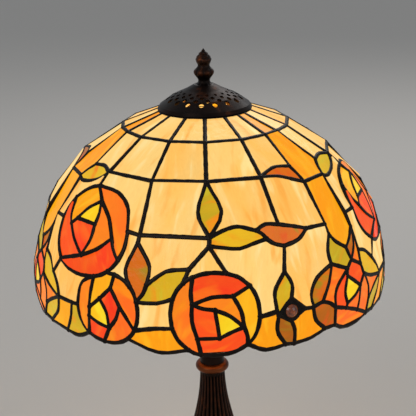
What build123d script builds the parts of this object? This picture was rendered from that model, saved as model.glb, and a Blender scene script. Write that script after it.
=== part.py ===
from build123d import *
from math import atan2, cos, hypot, radians, sin
import os

# Stained glass table lamp, millimetres, +Z up, origin on the table under the lamp's axis.
# The shade is one leaded pattern of 77 panes that repeats three times round the dome.

# overall sizes
SHADE_RADIUS = 152.5
SHADE_RISE = 157.0
RIM_HEIGHT = 264.0
FOOT_RADIUS = 82.0
FINIAL_HEIGHT = 30.0

# leaded glass
REPEATS = 3
GLASS_THICK = 3.0
LATTICE_THICK = 4.4
LEAD_WIDTH = 3.2
PANE_CLEARANCE = 0.05
CROWN_RING_WIDTH = 5.3
JEWEL_RADIUS = 5.4
JEWEL_BULGE = 3.4

# cap and finial
CAP_RADIUS = 39.8
CAP_OVERLAP = 2.9
CAP_RISE = 19.3
CAP_SHEET = 1.4
CAP_TOP_RADIUS = 8.7
CAP_GAP = 0.1
VENTS_PER_ROW = 17
STUD_RADIUS = 3.175
STUD_REACH = 11.0
THREAD_CLEARANCE = 0.05
FINIAL_RADIUS = 8.8
CROWN_RING_RADIUS = CAP_RADIUS - CAP_OVERLAP

# base, stem and neck
FOOT_WALL = 4.0
FOOT_EDGE = 9.5
FELT_THICK = 1.5
FELT_MARGIN = 2.0
FOOT_TOP = 92.0
FOOT_NECK_RADIUS = 24.0
STEM_TOP = 178.5
STEM_TOP_RADIUS = 11.2
RING_RADIUS = 15.0
RING_HEIGHT = 8.0
NECK_RADIUS = 10.0
CUP_RADIUS = 19.0
CUP_TOP = 216.0
CUP_LIP = 1.5
ROD_RADIUS = 4.85
ROD_BORE = 3.2
ROD_CLEARANCE = 0.2
ROD_THREAD = 8.0
ROD_RECESS = 0.4
BOSS_WALL = 8.0
BALLAST_INSET = 30.0
BALLAST_THICK = 12.0
BALLAST_BOTTOM = 8.0
NUT_FLATS = 17.0
NUT_THICK = 4.0
WASHER_THICK = 1.2
WASHER_MARGIN = 2.0
BUSHING_RADIUS = 5.0
BUSHING_WALL = 1.5
BUSHING_REACH = 4.0
BUSHING_HEIGHT = 10.0

# harp and lampholder
SADDLE_THICK = 2.0
SADDLE_WIDTH = 12.0
HARP_FOOT_SPREAD = 27.0
HARP_SPREAD = 50.0
HARP_WIRE = 2.0
POST_HEIGHT = 16.0
POST_RADIUS = 2.0
FERRULE_LENGTH = 14.0
FERRULE_WALL = 1.0
SLIDE_CLEARANCE = 0.05
HARP_BEND = 14.0
HARP_GAP = 1.0
SWIVEL_RADIUS = 6.0
SWIVEL_WALL = 1.5
SHELL_MARGIN = 4.3
SHELL_WALL = 0.8
SHELL_HEIGHT = 44.0
SOCKET_CAP_HEIGHT = 18.0
SOCKET_CAP_RIM = 4.0
HUB_WALL = 3.0
HUB_HEIGHT = 5.0
LINER_WALL = 0.9
LINER_RECESS = 1.0
SCREW_WALL = 0.5
SCREW_HEIGHT = 26.0
SCREW_RECESS = 1.5
CONTACT_GAP = 2.5
CONTACT_RADIUS = 3.5
BULB_BASE_RADIUS = 13.2
BULB_BASE_HEIGHT = 25.0
BULB_RADIUS = 30.0
BULB_GLASS = 81.0
BULB_TIP_RADIUS = 4.0
KNOB_RADIUS = 7.0
KNOB_LENGTH = 11.0
KNOB_RISE = 9.0
KNOB_GAP = 2.0
KNOB_RIBS = 12
KNOB_SHAFT_RADIUS = 2.0
KNOB_CLEARANCE = 0.05
SHAFT_HOLE_MARGIN = 0.5

os.makedirs("parts", exist_ok=True)


def save(name, *solids):
    """Write one sub-part; identical pieces go in as separate solids of one group."""
    shapes = [solid for item in solids for solid in item.solids()]
    export_step(shapes[0] if len(shapes) == 1 else Compound(children=shapes), f"parts/{name}.step")


def turned(*profile):
    """Solid of revolution about Z from (radius, height) points joined by straight lines."""
    outline = make_face(Polyline(*[(radius, 0, height) for radius, height in profile], close=True))
    return revolve(outline, Axis.Z)


def tube(outer, inner, bottom, top):
    return turned((inner, bottom), (outer, bottom), (outer, top), (inner, top))


def disc(radius, bottom, top):
    return Pos(0, 0, bottom) * extrude(Circle(radius), top - bottom)


def around(solid, count, start=0.0):
    """Copies of a solid turned evenly about Z."""
    return [Rot(0, 0, start + 360 * index / count) * solid for index in range(count)]


# dome of the shade
# Outer profile as shares of the shade's radius and rise, rim first.
DOME_SHARES = [(0.994, 0), (1, 0.169), (0.965, 0.349), (0.876, 0.562), (0.687, 0.783), (0.4695, 0.924),
               (0.268, 0.9995), (0.15, 1.02)]
DOME_STEPS = 12
HALVINGS = 40

dome_curve = Spline([Vector(across * SHADE_RADIUS, 0, up * SHADE_RISE) for across, up in DOME_SHARES])


def dome_share(radius):
    """Share of the dome's profile, measured from the rim, where it has closed in to a radius."""
    low, high = 0.5, 1.0
    for _ in range(HALVINGS):
        middle = (low + high) / 2
        if dome_curve.position_at(middle).X > radius:
            low = middle
        else:
            high = middle
    return low


def dome_height(radius):
    return RIM_HEIGHT + dome_curve.position_at(dome_share(radius)).Z


CROWN_SHARE = dome_share(CROWN_RING_RADIUS + LEAD_WIDTH / 2)
CROWN_UNITS = 212.5


def on_dome(azimuth, height):
    """Point of the dome's outer face: azimuth 0 faces -Y, height runs up the glass from 0 at the rim."""
    profile = dome_curve.position_at(height / CROWN_UNITS * CROWN_SHARE)
    turn = radians(azimuth)
    return Vector(profile.X * sin(turn), -profile.X * cos(turn), profile.Z + RIM_HEIGHT)


def dome_shell(depth, start, sweep):
    """Wall of the dome from its outer face inwards, over a span of azimuth, open inside the crown ring."""
    inner_points = []
    for step in range(DOME_STEPS + 1):
        tangent = dome_curve.tangent_at(step / DOME_STEPS)
        inward = Vector(-tangent.Z, 0, tangent.X).normalized()
        inner_points.append(dome_curve.position_at(step / DOME_STEPS) + inward * depth)
    inner_curve = Spline(inner_points)
    ends = [Line(dome_curve @ 0, inner_curve @ 0), Line(dome_curve @ 1, inner_curve @ 1)]
    section = make_face([dome_curve, inner_curve, *ends])
    wall = revolve(Rot(0, 0, start - 90) * section, Axis.Z, sweep)
    return Pos(0, 0, RIM_HEIGHT) * wall - disc(CROWN_RING_RADIUS, RIM_HEIGHT, RIM_HEIGHT + 2 * SHADE_RISE)


# leaded pattern
# Places are (azimuth in degrees, height up the glass); one pattern spans a third of the dome.
PITCH = 360 / REPEATS
CROWN, RING_1, RING_2, RING_3 = 212, 178, 137, 91
ROSES = {"A": (-43.7, 88, 16.2, 36.5), "B": (-32.6, 30.5, 11.0, 28.3), "C": (1.2, 31.6, 13.0, 33.0)}
SQUARENESS = 0.9


def on_rose(rose, clock):
    """Point of a rose's outline, a slightly squared oval; clock is degrees from its top."""
    azimuth, height, half_width, half_height = ROSES[rose]
    across, up = sin(radians(clock)), cos(radians(clock))
    across = abs(across) ** SQUARENESS * (1 if across > 0 else -1)
    up = abs(up) ** SQUARENESS * (1 if up > 0 else -1)
    return azimuth + half_width * across, height + half_height * up


# Junctions on the roses' outlines, by clock.
OUTLINES = {
    "A": {"A0": -11, "A1": -58, "A2": -88, "A3": -143, "M1": -200, "M2": -221, "A5": -242, "A6": -276},
    "B": {"M2": -10, "B0": 12, "X1": 46, "Y1": 73, "B5": 116, "B12": 138, "B11": 183, "B8": 213, "B13": 265,
          "M1": 324},
    "C": {"C0": -27, "C16": 15, "C4": 52, "C10": 94, "C6": 137, "C3": 197, "C14": 215, "C13": 254, "Y2": 290,
          "D2": 318},
}
# Junctions between roses, leaves, stripe and rings.
POINTS = {
    "K1": (-65, CROWN), "K2": (-47.5, CROWN), "K3": (-24, CROWN), "K4": (-0.5, CROWN), "K5": (23.5, CROWN),
    "K6": (42.5, CROWN), "J1": (-65, RING_1), "J2": (-47.5, RING_1), "J3": (-24, RING_1),
    "J4": (-0.5, RING_1), "J5": (23.5, RING_1), "J6": (42.5, RING_1), "H2": (-47.5, RING_2),
    "H3": (-24, RING_2), "H4": (-0.3, RING_2), "H5": (23.5, RING_2), "S1": (-60.8, 140),
    "S2": (-65.2, 125.5), "S3": (40.3, 142), "S4": (42.3, 125), "S5": (-65.1, 89.6), "S6": (42, 87.6),
    "T0": (42.2, 79.5), "T1": (48.4, 64.5), "T2": (54.5, 77.5), "T5": (54.9, 57.5), "G0": (0.2, 90.6),
    "N2": (0, 84.5), "L3": (-23, RING_3), "L4": (-23.2, 85), "D1": (-6.3, 67.2), "X3": (-19, 54),
    "G1": (15.8, 94.2), "G2": (18.8, 86.6), "G5": (24, 96.6), "G6": (24.3, 79), "G7": (33.9, 88.7),
    "I0": (23, 59.7), "I1": (19.2, 31), "W0": (24.3, 38.7), "W1": (28.4, 28.4), "W2": (23.9, 20.5),
    "W3": (19.8, 27.2), "V1": (22, 1.6), "V2": (24.9, 0.8), "V3": (35.7, 6.2), "Q4": (31.3, 27.4),
    "Q0": (35.1, 29.4), "Q1": (40.3, 56.2), "T3": (47, 47.9), "E0": (49.8, 53.1), "E1": (54.5, 46),
    "E3": (46.4, 42.3), "E4": (52.4, 29.5), "E5": (45.4, 20.2), "E5b": (44.8, 16.6), "E6": (40, 21),
    "E7": (50.8, 9.8), "E8": (56, 2.2), "E9": (55.3, 37), "E13": (57.9, 14), "Q5": (39.9, 6.1),
    "N1": (-52.9, 26.8), "P0": (-57.4, 45), "O1": (-58.9, 1), "O2": (-46, 27), "O3": (-49.6, 0.2),
    "A7": (-42.7, 112.3), "A8": (-53.6, 88), "A9": (-51.3, 93.6), "A10": (-42, 93), "A11": (-44.2, 67),
    "A12": (-33.2, 85), "B3": (-31, 47.3), "B4": (-27.5, 33.6), "B6": (-38.5, 28.4), "B7": (-38.6, 20.9),
    "B9": (-34.7, 37.2), "B10": (-31.1, 15.2), "C1": (-5.3, 40.6), "C2": (-4, 13.2), "C5": (6.6, 46),
    "C7": (9.4, 21.4), "C8": (1.2, 36), "C9": (2.3, 13.4),
}
for rose, clocks in OUTLINES.items():
    for junction, clock in clocks.items():
        POINTS.setdefault(junction, on_rose(rose, clock))

# Lead seams: first and last junction, then the places a curved seam bends through.
# A plus or minus after a junction means the same one a pattern further on or back.
SEAMS = [
    # crown
    ("K1", "K2"), ("K2", "K3"), ("K3", "K4"), ("K4", "K5"), ("K5", "K6"), ("K6", "K1+"), ("J1", "J2"),
    ("J2", "J3"), ("J3", "J4"), ("J4", "J5"), ("J5", "J6"), ("J6", "J1+"), ("K1", "J1"), ("K2", "J2"),
    ("K3", "J3"), ("K4", "J4"), ("K5", "J5"), ("K6", "J6"), ("J1", "S1", (-62.6, 158)), ("J2", "H2"),
    ("J3", "H3"), ("J4", "H4"), ("J5", "H5"), ("J6", "S3", (41.2, 160)), ("H2", "H3"), ("H3", "H4"),
    ("H4", "H5"),
    # stripe
    ("S1", "S2", (-63.4, 133.5)), ("S4", "S2+"), ("S2", "S5"), ("S5", "T2-"), ("S3", "S4", (41.5, 134)),
    ("S4", "S6"), ("S6", "T0"), ("T0", "T1", (44.6, 72)), ("T1", "T2", (51.4, 70)), ("T2", "T5"),
    ("T5", "E1"), ("E1", "E9"),
    # crown leaves
    ("S1", "H2", (-54, 141.6)), ("S2", "H2", (-62, 122.9), (-54.8, 126.3), (-49.8, 131.8)),
    ("H5", "S3", (27.7, 141.6), (33.4, 144.6)), ("H5", "S4", (30.5, 136), (36.3, 131.6)), ("H2", "A0"),
    ("S5", "A2"), ("A6", "L3"), ("L3", "G0"), ("H3", "L3"), ("L3", "L4"), ("H4", "G0", (-3.6, 112)),
    ("H4", "G0", (4.9, 112)), ("H5", "G5"), ("G7", "S6"), ("G0", "N2"),
    # rose A
    ("A0", "A7"), ("A7", "A12", (-37, 100.5)), ("A12", "A5", (-31.9, 78)), ("A1", "A8", (-55.8, 95)),
    ("A8", "A9"), ("A9", "A7", (-47.9, 104.3)), ("A9", "A10"), ("A7", "A10", (-41.7, 103)),
    ("A10", "A11", (-42.1, 80)), ("A8", "A11", (-49.9, 77.5)), ("A3", "A11"), ("A11", "A12", (-38.6, 74.6)),
    # rose B
    ("B0", "B3"), ("B3", "B4"), ("B4", "B5", (-25, 25)), ("M1", "B6", (-38.3, 41)), ("B6", "B7"),
    ("B7", "B8"), ("B6", "B9"), ("B9", "B3"), ("B9", "B10", (-32.1, 27.2)), ("B7", "B10", (-35, 17)),
    ("B4", "B10", (-28.7, 24)), ("B10", "B11"),
    # rose C
    ("C0", "C1", (-5.6, 50)), ("C1", "C2", (-5.4, 27)), ("C2", "C3"), ("C1", "C5", (0.5, 45.8)),
    ("C5", "C4"), ("C5", "C7", (8.7, 34)), ("C7", "C6", (10.4, 13)), ("C1", "C8", (-2.2, 37.4)),
    ("C8", "C7", (5.6, 30.5)), ("C8", "C9", (1.8, 25)), ("C2", "C9"), ("C9", "C7", (5.8, 17.7)),
    # leaves
    ("L4", "X1", (-26.4, 64)), ("L4", "X3", (-18.5, 68)), ("X3", "D1", (-13.4, 65)),
    ("X3", "Y1", (-20.1, 46.5)), ("Y1", "Y2", (-15.8, 40.4)), ("D1", "D2"), ("N2", "D1"), ("N2", "C16"),
    ("B5", "C13", (-16, 20.2)), ("G0", "G1", (4.4, 96), (9.8, 98.8)),
    ("N2", "G2", (4.6, 83), (9.8, 81.5), (14.6, 84.6)), ("G1", "G2", (17.5, 91)), ("G1", "G5", (19.6, 98)),
    ("G5", "G7", (28.9, 93.2)), ("G2", "G6", (21.2, 82)), ("G6", "G7", (30, 81.9)), ("G6", "I0"),
    ("I0", "I1", (19.3, 46)), ("I0", "W0", (25, 49)), ("I1", "C10"), ("I1", "W3"), ("W0", "W1"),
    ("W1", "W2"), ("W2", "W3"), ("W3", "W0"), ("W3", "V1", (19.5, 13.5)), ("W2", "V2", (25, 12)),
    ("W1", "Q4"), ("Q4", "V3", (32.3, 16)), ("Q4", "Q0"), ("Q0", "E6", (38, 26)),
    ("Q4", "Q1", (31.1, 38), (34.2, 49)), ("Q0", "Q1", (38.4, 43)), ("Q1", "T3"),
    ("T3", "E6", (42, 38), (40.2, 30)), ("T0", "Q1", (40.3, 67)), ("T1", "E0"), ("E0", "T3"),
    ("T2", "E0", (53.1, 63)),
    # rose E
    ("E0", "E1"), ("E9", "E4"), ("T3", "E3"), ("E3", "E4", (50, 35)), ("E3", "E5", (44.8, 30)),
    ("E4", "E5", (49.7, 23.8)), ("E5", "E5b"), ("E6", "E5b"), ("E5b", "E7"), ("E7", "E8"),
    ("E4", "E7", (51.9, 18.5)), ("E9", "E13", (57.8, 25)), ("E13", "E8"), ("E6", "Q5"),
    # lower leaves
    ("T5", "P0+", (59, 53.5)), ("P0", "N1", (-54.4, 36)), ("P0", "A3"), ("E9", "N1+", (60.2, 31.2)),
    ("N1+", "E13", (61.7, 20)), ("N1", "O1", (-54.3, 13.5)), ("N1", "O2"), ("O2", "O3", (-47.3, 13)),
    ("O2", "B13"),
    # rim
    ("B12", "C14", (-15.8, -0.4)), ("C6", "V1", (15.9, -0.4)), ("V1", "V2"), ("V2", "V3", (30.5, 1.6)),
    ("V3", "Q5"), ("Q5", "E8", (44, 0.3), (50, -1.6)), ("E8", "O1+"), ("O1", "O3"),
    ("O3", "B8", (-44.5, -0.6)),
]
for rose, clocks in OUTLINES.items():
    names, turns = list(clocks), list(clocks.values())
    order = sorted(range(len(names)), key=lambda index: turns[index])
    for here, there in zip(order, order[1:] + order[:1]):
        if rose == "B" and {names[here], names[there]} == {"M1", "M2"}:
            continue
        span = (turns[there] - turns[here]) % 360
        bends = 2 if span > 40 else 1
        bend_places = [on_rose(rose, turns[here] + span * (bend + 1) / (bends + 1)) for bend in range(bends)]
        SEAMS.append((names[here], names[there], *bend_places))

DEGREE_UNITS = 2.4
SEAM_STEP = 8.0
PATTERN_START = -78.5


def place(junction):
    shift = PITCH if junction.endswith("+") else -PITCH if junction.endswith("-") else 0
    azimuth, height = POINTS[junction.rstrip("+-")]
    return azimuth + shift, height


def between(before, start, end, after, share):
    """Catmull-Rom curve from start to end, at a share of the way."""
    return tuple(0.5 * (2 * b + (c - a) * share + (2 * a - 5 * b + 4 * c - d) * share**2
                        + (3 * b - a - 3 * c + d) * share**3)
                 for a, b, c, d in zip(before, start, end, after))


def seam_path(bends):
    """Places along a seam: straight between two, a smooth curve through more."""
    if len(bends) == 2:
        return bends
    first = tuple(2 * a - b for a, b in zip(bends[0], bends[1]))
    last = tuple(2 * a - b for a, b in zip(bends[-1], bends[-2]))
    padded = [first, *bends, last]
    path = [bends[0]]
    for before, start, end, after in zip(padded, padded[1:], padded[2:], padded[3:]):
        steps = max(2, round(hypot((end[0] - start[0]) * DEGREE_UNITS, end[1] - start[1]) / SEAM_STEP))
        path += [between(before, start, end, after, (step + 1) / steps) for step in range(steps)]
    return path


def middle(outline):
    return sum(azimuth for azimuth, _ in outline) / len(outline)


def trace_panes():
    """Outlines of the panes: walk each seam both ways and turn into the next seam clockwise."""
    runs = []
    for first, last, *bends in SEAMS:
        for turn in range(REPEATS):
            stops = (place(first), *bends, place(last))
            places = [(azimuth + PITCH * turn, height) for azimuth, height in stops]
            runs += [seam_path(places), seam_path(places)[::-1]]

    def spot(at):
        return round(at[0] % 360 * 20) % 7200, round(at[1] * 10)

    leaving = {}
    for number, run in enumerate(runs):
        bearing = atan2(run[1][1] - run[0][1], (run[1][0] - run[0][0]) * DEGREE_UNITS)
        leaving.setdefault(spot(run[0]), []).append((bearing, number))
    for bearings in leaving.values():
        bearings.sort()
    panes, walked = [], set()
    for start in range(len(runs)):
        outline, number = [], start
        while number not in walked:
            walked.add(number)
            lap = 0 if not outline else round((outline[-1][0] - runs[number][0][0]) / 360) * 360
            outline += [(azimuth + lap, height) for azimuth, height in runs[number][outline != []:]]
            numbers = [other for _, other in leaving[spot(runs[number][-1])]]
            number = numbers[numbers.index(number ^ 1) - 1]
        if outline and abs(outline[-1][0] - outline[0][0]) < 180:
            laps = (middle(outline) - PATTERN_START) // 360 * 360
            panes.append([(azimuth - laps, height) for azimuth, height in outline[:-1]])
    return panes


def holds(outline, spot):
    """Whether a spot lies inside an outline, in this pattern or the ones beside it."""
    for shift in (-PITCH, 0, PITCH):
        inside = False
        across, up = spot[0] + shift, spot[1]
        for (x1, y1), (x2, y2) in zip(outline, outline[1:] + outline[:1]):
            if (y1 > up) != (y2 > up) and across < x1 + (up - y1) * (x2 - x1) / (y2 - y1):
                inside = not inside
        if inside:
            return True
    return False


INSET_STEPS = 10
SHORTEST_EDGE = 0.4
SHARPEST_TURN = 0.05
PARALLEL = 1e-9


def doubled_area(corners):
    return sum(a.X * b.Y - b.X * a.Y for a, b in zip(corners, corners[1:] + corners[:1]))


def untangle(corners):
    """Cut off a loop where an outline crosses itself, keeping the larger side of the crossing."""
    count = len(corners)
    for first in range(count):
        for second in range(first + 2, count - (first == 0)):
            a, c = corners[first], corners[second]
            along, across = corners[first + 1] - a, corners[(second + 1) % count] - c
            turn = along.X * across.Y - along.Y * across.X
            if abs(turn) < PARALLEL:
                continue
            gap = c - a
            share = (gap.X * across.Y - gap.Y * across.X) / turn
            other = (gap.X * along.Y - gap.Y * along.X) / turn
            if 0 < share < 1 and 0 < other < 1:
                crossing = a + along * share
                inner = [crossing, *corners[first + 1:second + 1]]
                outer = [crossing, *corners[second + 1:], *corners[:first + 1]]
                return untangle(max(inner, outer, key=doubled_area))
    return corners


def inset(corners, width):
    """Corners of a flat outline moved inwards; where an edge shrinks away its two corners become one."""
    for _ in range(INSET_STEPS):
        moved = []
        for before, corner, after in zip(corners[-1:] + corners, corners, corners[1:] + corners[:1]):
            arriving = (corner - before).normalized()
            leaving = (after - corner).normalized()
            square = Vector(-arriving.Y - leaving.Y, arriving.X + leaving.X)
            blunt = max(1 + arriving.dot(leaving), SHARPEST_TURN)
            moved.append(corner + square * (width / INSET_STEPS / blunt))
        kept = []
        for index, corner in enumerate(moved):
            edge = corners[index] - corners[index - 1]
            if (corner - moved[index - 1]).dot(edge.normalized()) > SHORTEST_EDGE:
                kept.append(corner)
            elif kept:
                kept[-1] = (kept[-1] + corner) / 2
        corners = untangle(kept)
    return corners


def pane_faces(outline):
    """Plane that fits a pane's outline, halfway into the lattice, and on it the glass and its hole."""
    corners = [on_dome(azimuth, height) for azimuth, height in outline]
    centre = sum(corners, Vector()) / len(corners)
    edges = zip(corners, corners[1:] + corners[:1])
    normal = sum(((a - centre).cross(b - centre) for a, b in edges), Vector())
    flat = Plane(origin=centre - normal.normalized() * LATTICE_THICK / 2, z_dir=normal)
    local = [flat.to_local_coords(corner) for corner in corners]
    hole = inset([Vector(corner.X, corner.Y) for corner in local], LEAD_WIDTH / 2)
    glass = inset(hole, PANE_CLEARANCE)
    return flat, make_face(Polyline(*glass, close=True)), make_face(Polyline(*hole, close=True))


# Glass kinds by a spot in each pane; every other pane is cream.
JEWEL_SPOT = (24, 28.6)
GLASS = {
    "amber_stripe_panes": [(-71, 195), (-71, 150), (-71, 100)],
    "amber_border_panes": [(-15.8, 9), (17, 14), (29, 14), (-53, 12)],
    "yellow_heart_panes": [(-45, 98.5), (-35, 25), (4.5, 21), (47.5, 30)],
    "gold_petal_panes": [(-52, 106), (-34.5, 48), (12, 30)],
    "orange_petal_panes": [(-30.5, 100), (-38.5, 88), (-41, 30), (-25.5, 42), (-27, 14), (3, 42), (-8.5, 30),
                           (49, 17), (47, 5), (54.8, 20), (60.2, 24), (41.5, 42), (53, 52)],
    "red_petal_panes": [(-46.5, 84), (-55.5, 74), (-42, 58), (-29.6, 32), (-36, 11), (3, 56), (-1.8, 25),
                        (3, 6), (51, 44), (43, 30)],
    "green_leaf_panes": [(0.5, 112), (9.5, 90), (22, 46), (44.3, 62), (59, 46), (-59.5, 10), (-45, 12),
                         (-14, 54), (-56, 133)],
    "russet_leaf_panes": [(24.5, 88), (22.3, 12), (36, 17), (35.5, 42), (51.5, 64), (-22.5, 66), (35, 138)],
}
CREAM_SPLIT = RING_2 + 2
# The dome is soldered up from three sections that meet in the middle of the amber stripes.
SECTION_START = -71.25
MARGIN = 22

pattern_panes = [outline for outline in trace_panes() if middle(outline) < PATTERN_START + PITCH]


def glass_kind(outline):
    if holds(outline, JEWEL_SPOT):
        return "jewel_cabochons"
    for kind, spots in GLASS.items():
        if any(holds(outline, spot) for spot in spots):
            return kind
    upper = sum(height for _, height in outline) / len(outline) > CREAM_SPLIT
    return "cream_crown_panes" if upper else "cream_ground_panes"


def make_jewel():
    """Round cabochon: a disc in the lattice with a domed face, and the hole it leaves."""
    outward = on_dome(JEWEL_SPOT[0], JEWEL_SPOT[1])
    seat = pane_faces(next(outline for outline in pattern_panes if holds(outline, JEWEL_SPOT)))[0]
    seat = Plane(origin=outward - seat.z_dir * (LATTICE_THICK + GLASS_THICK) / 2, z_dir=seat.z_dir)
    ball = (JEWEL_RADIUS**2 + JEWEL_BULGE**2) / (2 * JEWEL_BULGE)
    sphere = Pos(0, 0, GLASS_THICK + JEWEL_BULGE - ball) * Sphere(ball)
    blank = disc(JEWEL_RADIUS - PANE_CLEARANCE, 0, GLASS_THICK + JEWEL_BULGE)
    jewel = blank & (sphere + disc(ball, 0, GLASS_THICK))
    return seat * jewel, seat * Pos(0, 0, -GLASS_THICK) * Cylinder(JEWEL_RADIUS, 4 * LATTICE_THICK)


def make_shade():
    """Panes by kind of glass, and the soldered lattice that they leave, in three moulded sections."""
    kinds, cutters = {}, []
    for outline in pattern_panes:
        kind = glass_kind(outline)
        if kind == "jewel_cabochons":
            glass, cutter = make_jewel()
        else:
            flat, pane, hole = pane_faces(outline)
            glass = flat * Pos(0, 0, -GLASS_THICK / 2) * extrude(pane, GLASS_THICK)
            cutter = flat * Pos(0, 0, -2 * LATTICE_THICK) * extrude(hole, 4 * LATTICE_THICK)
        kinds.setdefault(kind, []).append(glass)
        for turn in (-1, 0, 1):
            cutters.append((middle(outline) + PITCH * turn, Rot(0, 0, PITCH * turn) * cutter))
    for kind, panes in kinds.items():
        save(kind, *[copy for pane in panes for copy in around(pane, REPEATS)])
    near = [cutter for azimuth, cutter in cutters if -MARGIN < azimuth - SECTION_START < PITCH + MARGIN]
    section = dome_shell(LATTICE_THICK, SECTION_START, PITCH) - near
    save("solder_lattice", *around(max(section.solids(), key=lambda solid: solid.volume), REPEATS))


make_shade()


# cap, crown ring and finial
# Cap's outer profile as shares of its radius and rise, rim first; vents as share of its radius and size.
CAP_SHARES = [(1, 0), (0.955, 0.14), (0.706, 0.505), (0.393, 0.8), (CAP_TOP_RADIUS / CAP_RADIUS, 1)]
VENT_ROWS = [(0.5, 1.4), (0.59, 1.7), (0.68, 2.0), (0.77, 2.25)]
# Finial's side as shares of its radius and height: foot, neck, ball, waist, bud and tip.
FINIAL_SHARES = [(0.85, 0), (0.61, 0.15), (1, 0.355), (0.57, 0.525), (0.74, 0.65), (0.48, 0.84), (0, 1)]
CAP_BASE = dome_height(CAP_RADIUS - CAP_SHEET) + CAP_GAP
CAP_LAND = CAP_BASE + CAP_RISE
SEAT = CAP_LAND - CAP_SHEET
STUD_TOP = CAP_LAND + STUD_REACH

cap_outer = [(across * CAP_RADIUS, CAP_BASE + up * CAP_RISE) for across, up in CAP_SHARES]
cap_inner = [(radius, height - CAP_SHEET) for radius, height in cap_outer]


def under_cap(radius):
    """Height of the cap's inner face at a radius."""
    for (outer, low), (inner, high) in zip(cap_inner, cap_inner[1:]):
        if inner <= radius <= outer:
            return low + (high - low) * (outer - radius) / (outer - inner)


def make_cap():
    """Spun cap with four rows of round vents, the rows staggered by half a pitch."""
    lip = (cap_outer[0][0] - CAP_SHEET, cap_outer[0][1])
    bore = STUD_RADIUS + THREAD_CLEARANCE
    cap = turned(*cap_outer, (bore, CAP_LAND), (bore, SEAT), *cap_inner[:0:-1], lip)
    vents = []
    for row, (across, vent_radius) in enumerate(VENT_ROWS):
        hole = Pos(across * CAP_RADIUS, 0, CAP_LAND) * Cylinder(vent_radius, 2 * CAP_RISE)
        vents += around(hole, VENTS_PER_ROW, 180 / VENTS_PER_ROW * row)
    save("vented_cap", cap - vents)


def make_crown_ring():
    """Brass ring soldered inside the top of the lattice, which carries the cap."""
    inner = CROWN_RING_RADIUS - CROWN_RING_WIDTH
    bottom = dome_height(CROWN_RING_RADIUS) - LATTICE_THICK
    save("crown_ring", turned((inner, bottom), (CROWN_RING_RADIUS, bottom),
                              (CROWN_RING_RADIUS, under_cap(CROWN_RING_RADIUS)), (inner, under_cap(inner))))


def make_finial():
    """Turned bud on a ball, with a tapped blind hole for the stud."""
    bore = STUD_RADIUS + THREAD_CLEARANCE
    depth = STUD_REACH + 1
    side = Spline([Vector(across * FINIAL_RADIUS, 0, up * FINIAL_HEIGHT) for across, up in FINIAL_SHARES])
    hole = Polyline(side @ 1, (0, 0, depth), (bore, 0, depth), (bore, 0, 0), side @ 0)
    save("finial", Pos(0, 0, CAP_LAND) * revolve(make_face([side, hole]), Axis.Z))


make_cap()
make_crown_ring()
make_finial()

# base: felt, foot, ballast, lamp rod and its nut
# Foot's outer line as shares of its reach beyond the neck and of its rise, edge first.
FOOT_SHARES = [(1, 0), (0.93, 0.055), (0.72, 0.115), (0.48, 0.2), (0.275, 0.335), (0.12, 0.56), (0, 1)]
ROD_HOLE = ROD_RADIUS + ROD_CLEARANCE
BALLAST_TOP = BALLAST_BOTTOM + BALLAST_THICK
WASHER_BOTTOM = BALLAST_BOTTOM - WASHER_THICK
NUT_BOTTOM = WASHER_BOTTOM - NUT_THICK


def foot_curve(wall):
    """Trumpet line of the foot from its edge up to its neck, moved in by the wall."""
    reach, rise = FOOT_RADIUS - FOOT_NECK_RADIUS, FOOT_TOP - FOOT_EDGE - FELT_THICK
    return Spline([Vector(FOOT_NECK_RADIUS + across * reach - wall, 0, FELT_THICK + FOOT_EDGE + up * rise - wall)
                   for across, up in FOOT_SHARES])


def under_curve(curve, radius, bottom):
    """Solid of revolution between a trumpet line, the axis and a flat bottom of a radius."""
    top = (curve @ 1).Z
    edges = Polyline(curve @ 1, (0, 0, top), (0, 0, bottom), (radius, 0, bottom), curve @ 0)
    return revolve(make_face([curve, edges]), Axis.Z)


def make_foot():
    """Cast foot: a hollow trumpet with a boss for the rod and a hole in its back edge."""
    body = under_curve(foot_curve(0), FOOT_RADIUS, FELT_THICK)
    hollow = under_curve(foot_curve(FOOT_WALL), FOOT_RADIUS - FOOT_WALL, 0)
    hollow -= disc(ROD_RADIUS + BOSS_WALL, BALLAST_TOP, FOOT_TOP)
    back_hole = Cylinder(BUSHING_RADIUS, 4 * FOOT_WALL)
    back_hole = Pos(0, FOOT_RADIUS, BUSHING_HEIGHT) * Rot(90, 0, 0) * back_hole
    save("foot", body - hollow - disc(ROD_HOLE, 0, FOOT_TOP) - back_hole)


def make_rod():
    """Felt pad and ballast plate, and the rod that a washer and nut pull up against them."""
    save("felt_pad", disc(FOOT_RADIUS - FELT_MARGIN, 0, FELT_THICK))
    save("ballast_plate", tube(FOOT_RADIUS - BALLAST_INSET, ROD_HOLE, BALLAST_BOTTOM, BALLAST_TOP))
    save("rod_washer", tube(NUT_FLATS / 2 + WASHER_MARGIN, ROD_HOLE, WASHER_BOTTOM, BALLAST_BOTTOM))
    nut = extrude(RegularPolygon(NUT_FLATS / 2, 6, major_radius=False), NUT_THICK)
    save("rod_nut", Pos(0, 0, NUT_BOTTOM) * (nut - Cylinder(ROD_RADIUS, 4 * NUT_THICK)))
    rod_top = CUP_TOP + SADDLE_THICK + ROD_THREAD
    save("lamp_rod", tube(ROD_RADIUS, ROD_BORE, NUT_BOTTOM + ROD_RECESS, rod_top))


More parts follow.
